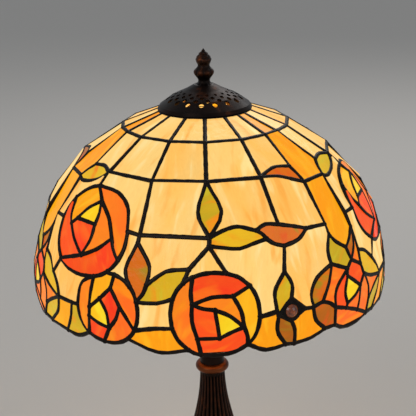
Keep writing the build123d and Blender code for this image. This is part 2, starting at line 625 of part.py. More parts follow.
def make_bushing():
    """Flanged bushing in the foot's back edge, where a cord would come out."""
    length = FOOT_WALL + BUSHING_REACH
    bore = Cylinder(BUSHING_RADIUS - BUSHING_WALL, 4 * length)
    plug = Cylinder(BUSHING_RADIUS, length) - bore
    flange = Cylinder(BUSHING_RADIUS + BUSHING_WALL, BUSHING_WALL) - bore
    flange = Pos(0, 0, (length + BUSHING_WALL) / 2) * flange
    save("cord_bushing", Pos(0, FOOT_RADIUS - length / 2, BUSHING_HEIGHT) * Rot(-90, 0, 0) * (plug + flange))


# stem, the collar above it and the cup that carries the lampholder
# Stem's side as shares of its taper and rise, foot first.
STEM_SHARES = [(1, 0), (0.56, 0.43), (0.22, 0.66), (0.07, 0.82), (0, 1)]
# Cup's side as added radius over its neck and share of its rise.
CUP_FLARES = [(1, 0), (0, 0.3), (1.4, 0.66)]
RING_TOP = STEM_TOP + RING_HEIGHT


def make_stem():
    """Trumpet of the stem: its side narrows quickly at first and is nearly straight at the top."""
    taper, rise = FOOT_NECK_RADIUS - STEM_TOP_RADIUS, STEM_TOP - FOOT_TOP
    side = Spline([Vector(STEM_TOP_RADIUS + across * taper, 0, FOOT_TOP + up * rise)
                   for across, up in STEM_SHARES])
    stem = make_face([side, Polyline(side @ 1, (ROD_HOLE, 0, STEM_TOP), (ROD_HOLE, 0, FOOT_TOP), side @ 0)])
    save("fluted_stem", revolve(stem, Axis.Z))


def make_neck():
    """Round collar, and the flaring cup on it."""
    low, high = (STEM_TOP_RADIUS, 0, STEM_TOP), (STEM_TOP_RADIUS, 0, RING_TOP)
    bulge = ThreePointArc(low, (RING_RADIUS, 0, STEM_TOP + RING_HEIGHT / 2), high)
    collar = make_face([bulge, Polyline(high, (ROD_HOLE, 0, RING_TOP), (ROD_HOLE, 0, STEM_TOP), low)])
    save("neck_ring", revolve(collar, Axis.Z))
    rise = CUP_TOP - RING_TOP
    stops = [Vector(NECK_RADIUS + flare, 0, RING_TOP + up * rise) for flare, up in CUP_FLARES]
    side = Spline([*stops, Vector(CUP_RADIUS, 0, CUP_TOP - CUP_LIP)])
    rim = Polyline(side @ 1, (CUP_RADIUS, 0, CUP_TOP), (ROD_HOLE, 0, CUP_TOP), (ROD_HOLE, 0, RING_TOP),
                   side @ 0)
    save("neck_cup", revolve(make_face([side, rim]), Axis.Z))


make_foot()
make_rod()
make_bushing()
make_stem()
make_neck()

# harp: saddle, prongs, wire, ferrules and the swivel stud
SADDLE_TOP = CUP_TOP + SADDLE_THICK
PRONG_TOP = SADDLE_TOP + POST_HEIGHT
HARP_FOOT = PRONG_TOP + HARP_GAP
HARP_CROWN = SEAT - 2.0 - HARP_WIRE
# Harp's corners above its ferrules, as shares of its rise.
HARP_WIDENS, HARP_CLOSES = 0.36, 0.66
FERRULE_HANG = 0.4


def make_saddle():
    plate = Pos(0, 0, CUP_TOP) * extrude(SlotCenterToCenter(2 * HARP_FOOT_SPREAD, SADDLE_WIDTH), SADDLE_THICK)
    plate -= Cylinder(ROD_HOLE, 4 * CUP_TOP)
    prong = Pos(HARP_FOOT_SPREAD, 0, SADDLE_TOP) * extrude(Circle(POST_RADIUS), POST_HEIGHT)
    save("harp_saddle", plate + around(prong, 2))


def make_harp():
    """Bent wire of the harp, a sliding ferrule on each leg, and the swivel stud on its crown."""
    rise = HARP_CROWN - HARP_FOOT
    half = [(HARP_FOOT_SPREAD, HARP_FOOT), (HARP_FOOT_SPREAD, HARP_FOOT + 2 * FERRULE_LENGTH),
            (HARP_SPREAD, HARP_FOOT + HARP_WIDENS * rise), (HARP_SPREAD, HARP_FOOT + HARP_CLOSES * rise),
            (HARP_BEND, HARP_CROWN)]
    route = [Vector(x, 0, z) for x, z in half] + [Vector(-x, 0, z) for x, z in half[::-1]]
    path = FilletPolyline(*route, radius=HARP_BEND)
    save("harp_wire", sweep(Pos(HARP_FOOT_SPREAD, 0, HARP_FOOT) * Circle(HARP_WIRE), path))
    inner = HARP_WIRE + SLIDE_CLEARANCE
    bottom = PRONG_TOP - FERRULE_HANG * FERRULE_LENGTH
    ferrule = tube(inner + FERRULE_WALL, inner, bottom, bottom + FERRULE_LENGTH)
    save("harp_ferrule_right", Pos(HARP_FOOT_SPREAD, 0, 0) * ferrule)
    save("harp_ferrule_left", Pos(-HARP_FOOT_SPREAD, 0, 0) * ferrule)
    boss = disc(SWIVEL_RADIUS, HARP_CROWN - HARP_WIRE - SWIVEL_WALL, SEAT) + disc(STUD_RADIUS, SEAT, STUD_TOP)
    wire_hole = Pos(0, 0, HARP_CROWN) * Rot(0, 90, 0) * Cylinder(HARP_WIRE, 4 * SWIVEL_RADIUS)
    save("swivel_stud", boss - wire_hole)


# lampholder and bulb
SHELL_RADIUS = BULB_BASE_RADIUS + SHELL_MARGIN
SHELL_BOTTOM = SADDLE_TOP + SOCKET_CAP_HEIGHT
SHELL_TOP = SHELL_BOTTOM + SHELL_HEIGHT
BODY_TOP = SHELL_TOP - SCREW_HEIGHT - LINER_RECESS
KNOB_HEIGHT = SHELL_BOTTOM + KNOB_RISE
LINER_RADIUS = SHELL_RADIUS - SHELL_WALL
CORE_RADIUS = LINER_RADIUS - LINER_WALL


def at_knob(solid, out):
    """A solid turned to lie along the knob's axis, a distance out from the lamp's axis."""
    return Pos(0, -out, KNOB_HEIGHT) * Rot(90, 0, 0) * solid


def make_lampholder():
    """Cap, shell and liner of the lampholder, its switch body, screw shell and centre contact."""
    hub = ROD_RADIUS + HUB_WALL
    cap_wall = 2.0
    floor = SADDLE_TOP + HUB_HEIGHT
    save("socket_cap", turned((ROD_RADIUS, SADDLE_TOP), (hub, SADDLE_TOP), (hub, floor),
                              (SHELL_RADIUS, SHELL_BOTTOM - SOCKET_CAP_RIM), (SHELL_RADIUS, SHELL_BOTTOM),
                              (LINER_RADIUS, SHELL_BOTTOM), (LINER_RADIUS, SHELL_BOTTOM - 0.9 * SOCKET_CAP_RIM),
                              (hub - cap_wall / 2, floor + cap_wall), (ROD_RADIUS, floor + cap_wall)))
    shaft_hole = at_knob(Cylinder(KNOB_SHAFT_RADIUS + SHAFT_HOLE_MARGIN, 12), SHELL_RADIUS)
    save("socket_shell", tube(SHELL_RADIUS, LINER_RADIUS, SHELL_BOTTOM, SHELL_TOP) - shaft_hole)
    liner = tube(LINER_RADIUS, CORE_RADIUS, SHELL_BOTTOM + LINER_RECESS, SHELL_TOP - LINER_RECESS)
    save("socket_liner", liner - shaft_hole)
    bearing = at_knob(Cylinder(KNOB_SHAFT_RADIUS + KNOB_CLEARANCE, CORE_RADIUS), CORE_RADIUS / 2)
    save("switch_body", disc(CORE_RADIUS, SHELL_BOTTOM + LINER_RECESS, BODY_TOP) - bearing)
    screw = BULB_BASE_RADIUS + SLIDE_CLEARANCE
    save("screw_shell", tube(screw + SCREW_WALL, screw, BODY_TOP, SHELL_TOP - SCREW_RECESS))
    save("centre_contact", disc(CONTACT_RADIUS, BODY_TOP, BODY_TOP + CONTACT_GAP - 1))


def make_knob():
    """Ribbed turning knob, and the switch shaft that runs from its blind bore into the switch body."""
    inner_end = 1.0
    bore_depth = KNOB_LENGTH - 5.0
    rib_radius = 0.8
    knob = extrude(Circle(KNOB_RADIUS), KNOB_LENGTH - KNOB_GAP)
    rib = Pos(KNOB_RADIUS, 0, 0) * Cylinder(rib_radius, 4 * KNOB_LENGTH)
    bore = Cylinder(KNOB_SHAFT_RADIUS, 2 * bore_depth)
    knob_face = SHELL_RADIUS + KNOB_GAP
    save("switch_knob", at_knob(knob - around(rib, KNOB_RIBS) - bore, knob_face))
    reach = knob_face + bore_depth - inner_end
    save("switch_shaft", at_knob(Cylinder(KNOB_SHAFT_RADIUS, reach), inner_end + reach / 2))


def make_bulb():
    """Screw base with its tip contact, and the frosted globe that narrows into it."""
    tip = BODY_TOP + CONTACT_GAP
    base_top = tip + BULB_BASE_HEIGHT
    save("bulb_base", turned((0, tip - 1), (BULB_TIP_RADIUS, tip - 1), (BULB_TIP_RADIUS, tip),
                             (BULB_BASE_RADIUS, tip + 3), (BULB_BASE_RADIUS, base_top), (0, base_top)))
    centre = base_top + BULB_GLASS - BULB_RADIUS
    neck = BULB_BASE_RADIUS - 0.4
    side = Spline([Vector(neck, 0, base_top), Vector(neck + 1.2, 0, base_top + 12),
                   Vector(BULB_RADIUS - 5, 0, centre - 17), Vector(BULB_RADIUS, 0, centre)])
    shoulder = BULB_RADIUS * sin(radians(45))
    top = (0, 0, centre + BULB_RADIUS)
    crown = ThreePointArc((BULB_RADIUS, 0, centre), (shoulder, 0, centre + shoulder), top)
    inside = Polyline(top, (0, 0, base_top), (neck, 0, base_top))
    save("bulb_glass", revolve(make_face([side, crown, inside]), Axis.Z))


make_saddle()
make_harp()
make_lampholder()
make_knob()
make_bulb()
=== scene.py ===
import bpy
import bmesh
import math
import numpy as np
from mathutils import Matrix, Vector


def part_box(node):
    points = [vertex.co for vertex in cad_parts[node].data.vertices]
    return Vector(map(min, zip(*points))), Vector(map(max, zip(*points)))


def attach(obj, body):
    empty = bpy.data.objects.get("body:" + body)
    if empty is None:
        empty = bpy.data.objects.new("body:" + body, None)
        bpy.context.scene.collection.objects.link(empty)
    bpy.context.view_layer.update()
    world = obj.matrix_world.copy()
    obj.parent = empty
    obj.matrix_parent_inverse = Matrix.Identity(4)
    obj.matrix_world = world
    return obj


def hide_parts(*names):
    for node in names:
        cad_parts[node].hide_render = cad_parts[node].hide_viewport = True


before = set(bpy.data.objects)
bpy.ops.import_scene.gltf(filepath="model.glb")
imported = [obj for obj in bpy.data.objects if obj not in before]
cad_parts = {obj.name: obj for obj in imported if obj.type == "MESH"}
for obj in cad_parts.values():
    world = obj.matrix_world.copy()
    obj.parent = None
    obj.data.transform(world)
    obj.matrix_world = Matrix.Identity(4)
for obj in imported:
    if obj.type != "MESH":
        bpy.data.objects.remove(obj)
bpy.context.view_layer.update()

# Lit table lamp with a leaded rose shade. Metres, +Z up, the table at 0, the camera on -Y.
# Places round the shade are (azimuth in degrees from -Y, height up the glass in millimetres).
scene = bpy.context.scene
scene.view_settings.view_transform = "Standard"
mm = 0.001
print("frame loaded", len(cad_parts), "nodes")

viewpoint = {"lookAt": (0.0, 0.0, 0.324), "distance": 0.9813, "elevation": 18.4, "lens": 97.75,
             "sensor": 36.0, "shiftUp": 0.0202, "roll": -1.65}


def makeCamera():
    # Stands back from the look-at point along the elevation, then rolls about its own line of sight.
    tilt = math.radians(viewpoint["elevation"])
    back = Vector((0, -math.cos(tilt), math.sin(tilt)))
    data = bpy.data.cameras.new("viewCamera")
    data.lens, data.sensor_width, data.shift_y = viewpoint["lens"], viewpoint["sensor"], viewpoint["shiftUp"]
    camera = bpy.data.objects.new("viewCamera", data)
    roll = Matrix.Rotation(math.radians(viewpoint["roll"]), 3, "Z")
    turn = (-back).to_track_quat("-Z", "Y").to_matrix() @ roll
    eye = Vector(viewpoint["lookAt"]) + back * viewpoint["distance"]
    camera.matrix_world = Matrix.Translation(eye) @ turn.to_4x4()
    scene.collection.objects.link(camera)
    scene.camera = camera


studio = {
    "floorSize": 6.0,
    "floorDrop": 0.0002,
    "aim": (0, 0, 0.3),
    "ambient": 0.34,
    "panels": [  # place, width, watts, colour
        ((-1.3, -1.5, 1.5), 1.3, 9.5, (1.0, 0.98, 0.95)),
        ((1.6, -1.1, 1.1), 1.2, 4.5, (0.95, 0.98, 1.0)),
        ((0.4, 1.5, 1.6), 1.2, 9, (1.0, 0.98, 0.96)),
    ],
}


# A node's output socket. Arithmetic on it adds Math nodes; node() adds any other node to the same tree.
class Wire:
    def __init__(self, tree, socket=None):
        self.tree = tree
        self.socket = socket

    def node(self, kind, settings, inputs, output=0):
        made = self.tree.nodes.new("ShaderNode" + kind)
        for name, value in settings.items():
            if name == "stops":
                ramp = made.color_ramp
                for place, colour in value[1:-1]:
                    ramp.elements.new(place)
                ramp.elements[0].position = value[0][0]
                ramp.elements[-1].position = value[-1][0]
                for element, (place, colour) in zip(ramp.elements, value):
                    element.color = colour
            else:
                setattr(made, name, value)
        for name, value in inputs.items():
            if isinstance(value, Wire):
                self.tree.links.new(value.socket, made.inputs[name])
            else:
                made.inputs[name].default_value = value
        return Wire(self.tree, made.outputs[output] if made.outputs else None)

    def math(self, operation, first, second=0.0):
        return self.node("Math", {"operation": operation}, {0: first, 1: second})

    def __add__(self, other):
        return self.math("ADD", self, other)

    __radd__ = __add__

    def __mul__(self, other):
        return self.math("MULTIPLY", self, other)

    __rmul__ = __mul__

    def __sub__(self, other):
        return self.math("SUBTRACT", self, other)

    def __rsub__(self, other):
        return self.math("SUBTRACT", other, self)

    def __truediv__(self, other):
        return self.math("DIVIDE", self, other)

    def __pow__(self, other):
        return self.math("POWER", self, other)

    def ramp(self, stops):
        return self.node("ValToRGB", {"stops": stops}, {"Fac": self})

    def mix(self, first, second, blend="MIX"):
        # Goes from the first colour to the second by this value.
        settings = {"data_type": "RGBA", "blend_type": blend}
        return self.node("Mix", settings, {0: self, 6: first, 7: second}, 2)

    def noise(self, scale, detail=2.0, roughness=0.5, distortion=0.0, output=0):
        # Noise read at this vector, in cells per unit.
        sockets = {"Vector": self, "Scale": scale, "Detail": detail, "Roughness": roughness,
                   "Distortion": distortion}
        return self.node("TexNoise", {}, sockets, output)

    def stretched(self, across, along, up):
        # This vector with each of its directions scaled.
        return self.node("VectorMath", {"operation": "MULTIPLY"}, {0: self, 1: (across, along, up)})

    def between(self, start, end, most):
        # Smooth step of this value from nothing at start to most at end.
        sockets = {"Value": self, "From Min": start, "From Max": end, "To Min": 0.0, "To Max": most}
        return self.node("MapRange", {"interpolation_type": "SMOOTHSTEP"}, sockets)

    def scaled(self, factor):
        # This colour times a number.
        return self.node("VectorMath", {"operation": "SCALE"}, {0: self, "Scale": factor})

    def bump(self, strength, distance):
        return self.node("Bump", {}, {"Height": self, "Strength": strength, "Distance": distance})


def paint(red, green, blue):
    # Screen colour out of 255 turned into linear light.
    values = [value / 255 for value in (red, green, blue)]
    return tuple(v / 12.92 if v < 0.04045 else ((v + 0.055) / 1.055) ** 2.4 for v in values) + (1.0,)


def objectPlace(wire):
    return wire.node("TexCoord", {}, {}, "Object")


def newMaterial(name):
    material = bpy.data.materials.new(name)
    material.use_nodes = True
    material.node_tree.nodes.clear()
    return material, Wire(material.node_tree)


def closeMaterial(wire, sockets):
    shader = wire.node("BsdfPrincipled", {}, sockets)
    wire.node("OutputMaterial", {}, {"Surface": shader})


# Each kind of glass: its body colour, the colour it clouds and streaks to, how long the streaks are, and its
# glow, the strength of its painted emission.
glassKinds = {
    "cream": {
        "slot": "cream_glass", "body": (255, 209, 122), "cloud": (253, 190, 92), "streak": (250, 166, 62),
        "light": (255, 224, 150), "length": 5.0, "fineness": 0.11, "strength": 0.75, "glow": 0.98,
        "lean": 0.2, "spread": 0.3},
    "amber": {
        "slot": "amber_glass", "body": (253, 168, 14), "cloud": (251, 152, 10), "streak": (255, 184, 30),
        "light": (255, 180, 26), "length": 4.0, "fineness": 0.1, "strength": 0.6, "glow": 0.97,
        "lean": 0.3, "spread": 0.2},
    "orange": {
        "slot": "orange_glass", "body": (254, 132, 28), "cloud": (252, 106, 28), "streak": (254, 160, 30),
        "light": (254, 146, 22), "length": 3.0, "fineness": 0.08, "strength": 0.7, "glow": 0.97,
        "lean": 3.0, "spread": 0.35},
    "red": {
        "slot": "red_glass", "body": (252, 84, 24), "cloud": (246, 56, 24), "streak": (253, 122, 24),
        "light": (254, 104, 28), "length": 3.0, "fineness": 0.08, "strength": 0.7, "glow": 0.96,
        "lean": 3.0, "spread": 0.35},
    "gold": {
        "slot": "gold_glass", "body": (253, 178, 24), "cloud": (251, 156, 18), "streak": (254, 200, 40),
        "light": (254, 192, 34), "length": 3.0, "fineness": 0.08, "strength": 0.7, "glow": 0.97,
        "lean": 3.0, "spread": 0.25},
    "yellow": {
        "slot": "yellow_glass", "body": (252, 214, 30), "cloud": (250, 190, 22), "streak": (254, 228, 46),
        "light": (254, 224, 44), "length": 3.0, "fineness": 0.1, "strength": 0.6, "glow": 0.98,
        "lean": 3.0, "spread": 0.2},
    "green": {
        "slot": "green_glass", "body": (236, 184, 32), "cloud": (200, 166, 30), "streak": (248, 142, 24),
        "light": (206, 190, 44), "length": 2.2, "fineness": 0.085, "strength": 1.0, "glow": 0.93,
        "lean": 3.0, "spread": 0.5},
    "russet": {
        "slot": "russet_glass", "body": (230, 112, 18), "cloud": (176, 98, 18), "streak": (240, 78, 22),
        "light": (160, 146, 28), "length": 2.2, "fineness": 0.085, "strength": 0.9, "glow": 0.86,
        "lean": 3.0, "spread": 0.6},
}


def makeGlassMaterial(name, kind):
    # Sheet glass with a painted glow: its emission stands in for the bulb's light coming through it. Slow
    # clouds and long wisps along each pane's own grain, a tone of its own for each pane, and a rippled glossy
    # face.
    # The grain attribute is the place in a pane in millimetres, with the streaks along its second direction.
    material, wire = newMaterial(name)
    grain = wire.node("Attribute", {"attribute_name": "grain"}, {}, "Vector")
    tone = wire.node("Attribute", {"attribute_name": "tone"}, {}, "Fac")
    clouds = grain.stretched(1, 0.45, 1).noise(0.04, 2, 0.45, 0.4)
    wisps = grain.stretched(1, 1 / kind["length"], 1).noise(kind["fineness"], 2, 0.45, 0.5)
    fine = grain.stretched(1, 0.3, 1).noise(0.8, 3, 0.6)
    cloudShare = (clouds - 0.5) * 2.6 + (tone - 0.5) * (kind["spread"] * 4) + 0.42
    cloudShare = cloudShare.node("Clamp", {}, {"Value": cloudShare})
    colour = cloudShare.mix(paint(*kind["body"]), paint(*kind["cloud"]))
    colour = wisps.between(0.53, 0.76, kind["strength"]).mix(colour, paint(*kind["streak"]))
    colour = wisps.between(0.47, 0.28, 0.8).mix(colour, paint(*kind["light"]))
    # Strength of the painted glow, varied across each pane by the clouds and the fine noise.
    shine = (fine - 0.5) * 0.16 + (clouds - 0.5) * 0.25 + kind["glow"]
    lit = colour.scaled(shine)
    ripple = grain.noise(0.16, 3, 0.5)
    seeds = grain.node("TexVoronoi", {"feature": "F1"}, {"Vector": grain, "Scale": 0.35})
    relief = ripple * 1.0 + fine * 0.12 + (seeds ** 0.5) * 0.05
    # The emission paints the glow of the bulb's light coming through the glass; the dark base takes gloss and
    # studio light.
    closeMaterial(wire, {"Base Color": lit.scaled(0.1), "Roughness": fine * 0.14 + 0.16,
                         "Normal": relief.bump(0.4, 0.0012), "IOR": 1.45, "Specular IOR Level": 0.26,
                         "Emission Color": lit, "Emission Strength": 1.0})
    return material


def mergedCopy(node):
    # The CAD node's triangles joined into closed panes, as a mesh of its own.
    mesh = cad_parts[node].data.copy()
    work = bmesh.new()
    work.from_mesh(mesh)
    bmesh.ops.remove_doubles(work, verts=work.verts, dist=0.02 * mm)
    bmesh.ops.dissolve_limit(work, angle_limit=math.radians(0.5), verts=work.verts, edges=work.edges)
    work.to_mesh(mesh)
    work.free()
    mesh.materials.clear()
    return mesh


def readPoints(mesh):
    points = np.empty(len(mesh.vertices) * 3)
    mesh.vertices.foreach_get("co", points)
    return points.reshape(-1, 3)


def setAttribute(mesh, name, kind, field, values):
    mesh.attributes.new(name, kind, "POINT").data.foreach_set(field, values.ravel().astype(np.float32))


def islandsOf(mesh):
    # Number of each point's island: the lowest point number that its edges lead to.
    edges = np.empty(len(mesh.edges) * 2, np.int32)
    mesh.edges.foreach_get("vertices", edges)
    first, second = edges.reshape(-1, 2).T
    label = np.arange(len(mesh.vertices))
    while True:
        low = np.minimum(label[first], label[second])
        fresh = label.copy()
        np.minimum.at(fresh, first, low)
        np.minimum.at(fresh, second, low)
        if (fresh == label).all():
            return np.unique(label, return_inverse=True)[1]
        label = fresh


def addPiece(name, mesh, body, slot, replaced, material, smoothAngle=None):
    piece = bpy.data.objects.new(name, mesh)
    scene.collection.objects.link(piece)
    mesh.materials.clear()
    mesh.materials.append(material)
    if smoothAngle is not None:
        mesh.shade_smooth()
        mesh.set_sharp_from_angle(angle=math.radians(smoothAngle))
    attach(piece, body)
    if replaced:
        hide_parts(*replaced)
    return piece


def makePanes(name, node, kind, material):
    # Gives every pane a tone and a grain: the place in the pane's own frame, its second direction up the
    # glass turned by the pane's lean and its third through the glass, the way the points spread least, plus
    # an offset that moves the pattern from pane to pane.
    mesh = mergedCopy(node)
    points = readPoints(mesh) / mm
    island = islandsOf(mesh)
    count = island.max() + 1
    total = np.stack([np.bincount(island, points[:, axis]) for axis in range(3)], 1)
    centre = total / np.bincount(island)[:, None]
    draw = np.random.default_rng(sum(map(ord, node)))
    tone = draw.random(count)
    lean = draw.uniform(-1, 1, count) * glassKinds[kind]["lean"]
    local = points - centre[island]
    spread = np.zeros((count, 3, 3))
    np.add.at(spread, island, local[:, :, None] * local[:, None])
    outward = np.linalg.eigh(spread)[1][:, :, 0]
    outward *= np.sign((outward * centre * (1, 1, 0)).sum(1))[:, None]
    across = np.cross((0, 0, 1), outward)
    across /= np.linalg.norm(across, axis=1, keepdims=True)
    up = np.cross(outward, across)
    firstWay = across * np.cos(lean)[:, None] + up * np.sin(lean)[:, None]
    secondWay = up * np.cos(lean)[:, None] - across * np.sin(lean)[:, None]
    grain = np.stack([(local * way[island]).sum(1) for way in (firstWay, secondWay, outward)], 1)
    grain += draw.uniform(0, 400, (count, 3))[island]
    setAttribute(mesh, "grain", "FLOAT_VECTOR", "vector", grain)
    setAttribute(mesh, "tone", "FLOAT", "value", tone[island])
    return addPiece(name, mesh, "shade", glassKinds[kind]["slot"], [node], material)


def meshFrom(name, points, faces):
    mesh = bpy.data.meshes.new(name)
    mesh.from_pydata(points.tolist() if isinstance(points, np.ndarray) else points, [], faces)
    mesh.update()
    return mesh


def closeUp(mesh, weld=0.0):
    # Joins points nearer than the weld, and turns all faces outward.
    work = bmesh.new()
    work.from_mesh(mesh)
    if weld:
        bmesh.ops.remove_doubles(work, verts=work.verts, dist=weld)
    bmesh.ops.recalc_face_normals(work, faces=work.faces)
    work.to_mesh(mesh)
    work.free()


def gridFaces(rows, columns, closed, start=0):
    # Quads between neighbouring points of a grid held row by row; closed joins the last column to the first.
    row = np.arange(rows - 1)[:, None] * columns
    column = np.arange(columns if closed else columns - 1)
    after = (column + 1) % columns
    quads = np.stack([row + column, row + after, row + columns + after, row + columns + column], -1)
    return (quads.reshape(-1, 4) + start).tolist()


def splineThrough(points):
    # Smooth curve through points, told by share of its length: powers 0 to 3 of the share, and the cubed
    # distance past each inner knot but the first and last, weighted so that the curve meets every point.
    points = np.array(points, float)
    knots = np.r_[0, np.cumsum(np.hypot(*np.diff(points, axis=0).T))]
    knots = knots / knots[-1]

    def terms(share):
        share = np.asarray(share, float)[..., None]
        return np.concatenate([share ** np.arange(4), np.maximum(share - knots[2:-2], 0) ** 3], -1)

    weights = np.linalg.solve(terms(knots), points)
    return lambda share: terms(share) @ weights


# The dome's outer face, rim first, as shares of its radius and rise.
dome = {"radius": 152.5, "rise": 157.0, "rim": 264.0, "crownShare": 0.93051, "crownUnits": 212.5,
        "widest": 152.8,
        "shares": [(0.994, 0), (1, 0.169), (0.965, 0.349), (0.876, 0.562), (0.687, 0.783), (0.4695, 0.924),
                   (0.268, 0.9995), (0.15, 1.02)]}
domeCurve = splineThrough(np.array(dome["shares"]) * (dome["radius"], dome["rise"]))


def onDome(places):
    # (azimuth, height) to metres: the profile at the height's share, turned about Z from -Y.
    places = np.asarray(places, float)
    radius, level = domeCurve(places[..., 1] / dome["crownUnits"] * dome["crownShare"]).T
    turn = np.radians(places[..., 0]).T
    return np.stack([radius * np.sin(turn), -radius * np.cos(turn), level + dome["rim"]], -1) * mm


# The leaded pattern, one third of the dome, met three times round it.
repeats = 3
pitch = 360 / repeats
crown, ring1, ring2, ring3 = 212, 178, 137, 91
roses = {"A": (-43.7, 88, 16.2, 36.5), "B": (-32.6, 30.5, 11.0, 28.3), "C": (1.2, 31.6, 13.0, 33.0)}
squareness = 0.9


def onRose(rose, clock):
    # Point of a rose's outline, a slightly squared oval; clock is degrees from its top.
    azimuth, height, halfWidth, halfHeight = roses[rose]
    across, up = math.sin(math.radians(clock)), math.cos(math.radians(clock))
    across = abs(across) ** squareness * (1 if across > 0 else -1)
    up = abs(up) ** squareness * (1 if up > 0 else -1)
    return azimuth + halfWidth * across, height + halfHeight * up


# Junctions on the roses' outlines, by clock.
outlines = {
    "A": {"A0": -11, "A1": -58, "A2": -88, "A3": -143, "M1": -200, "M2": -221, "A5": -242, "A6": -276},
    "B": {"M2": -10, "B0": 12, "X1": 46, "Y1": 73, "B5": 116, "B12": 138, "B11": 183, "B8": 213, "B13": 265,
          "M1": 324},
    "C": {"C0": -27, "C16": 15, "C4": 52, "C10": 94, "C6": 137, "C3": 197, "C14": 215, "C13": 254, "Y2": 290,
          "D2": 318},
}
# Junctions between roses, leaves, stripe and rings.
points = {
    "K1": (-65, crown), "K2": (-47.5, crown), "K3": (-24, crown), "K4": (-0.5, crown), "K5": (23.5, crown),
    "K6": (42.5, crown), "J1": (-65, ring1), "J2": (-47.5, ring1), "J3": (-24, ring1),
    "J4": (-0.5, ring1), "J5": (23.5, ring1), "J6": (42.5, ring1), "H2": (-47.5, ring2),
    "H3": (-24, ring2), "H4": (-0.3, ring2), "H5": (23.5, ring2), "S1": (-60.8, 140),
    "S2": (-65.2, 125.5), "S3": (40.3, 142), "S4": (42.3, 125), "S5": (-65.1, 89.6), "S6": (42, 87.6),
    "T0": (42.2, 79.5), "T1": (48.4, 64.5), "T2": (54.5, 77.5), "T5": (54.9, 57.5), "G0": (0.2, 90.6),
    "N2": (0, 84.5), "L3": (-23, ring3), "L4": (-23.2, 85), "D1": (-6.3, 67.2), "X3": (-19, 54),
    "G1": (15.8, 94.2), "G2": (18.8, 86.6), "G5": (24, 96.6), "G6": (24.3, 79), "G7": (33.9, 88.7),
    "I0": (23, 59.7), "I1": (19.2, 31), "W0": (24.3, 38.7), "W1": (28.4, 28.4), "W2": (23.9, 20.5),
    "W3": (19.8, 27.2), "V1": (22, 1.6), "V2": (24.9, 0.8), "V3": (35.7, 6.2), "Q4": (31.3, 27.4),
    "Q0": (35.1, 29.4), "Q1": (40.3, 56.2), "T3": (47, 47.9), "E0": (49.8, 53.1), "E1": (54.5, 46),
    "E3": (46.4, 42.3), "E4": (52.4, 29.5), "E5": (45.4, 20.2), "E5b": (44.8, 16.6), "E6": (40, 21),
    "E7": (50.8, 9.8), "E8": (56, 2.2), "E9": (55.3, 37), "E13": (57.9, 14), "Q5": (39.9, 6.1),
    "N1": (-52.9, 26.8), "P0": (-57.4, 45), "O1": (-58.9, 1), "O2": (-46, 27), "O3": (-49.6, 0.2),
    "A7": (-42.7, 112.3), "A8": (-53.6, 88), "A9": (-51.3, 93.6), "A10": (-42, 93), "A11": (-44.2, 67),
    "A12": (-33.2, 85), "B3": (-31, 47.3), "B4": (-27.5, 33.6), "B6": (-38.5, 28.4), "B7": (-38.6, 20.9),
    "B9": (-34.7, 37.2), "B10": (-31.1, 15.2), "C1": (-5.3, 40.6), "C2": (-4, 13.2), "C5": (6.6, 46),
    "C7": (9.4, 21.4), "C8": (1.2, 36), "C9": (2.3, 13.4),
}
for rose, clocks in outlines.items():
    for junction, clock in clocks.items():
        points.setdefault(junction, onRose(rose, clock))

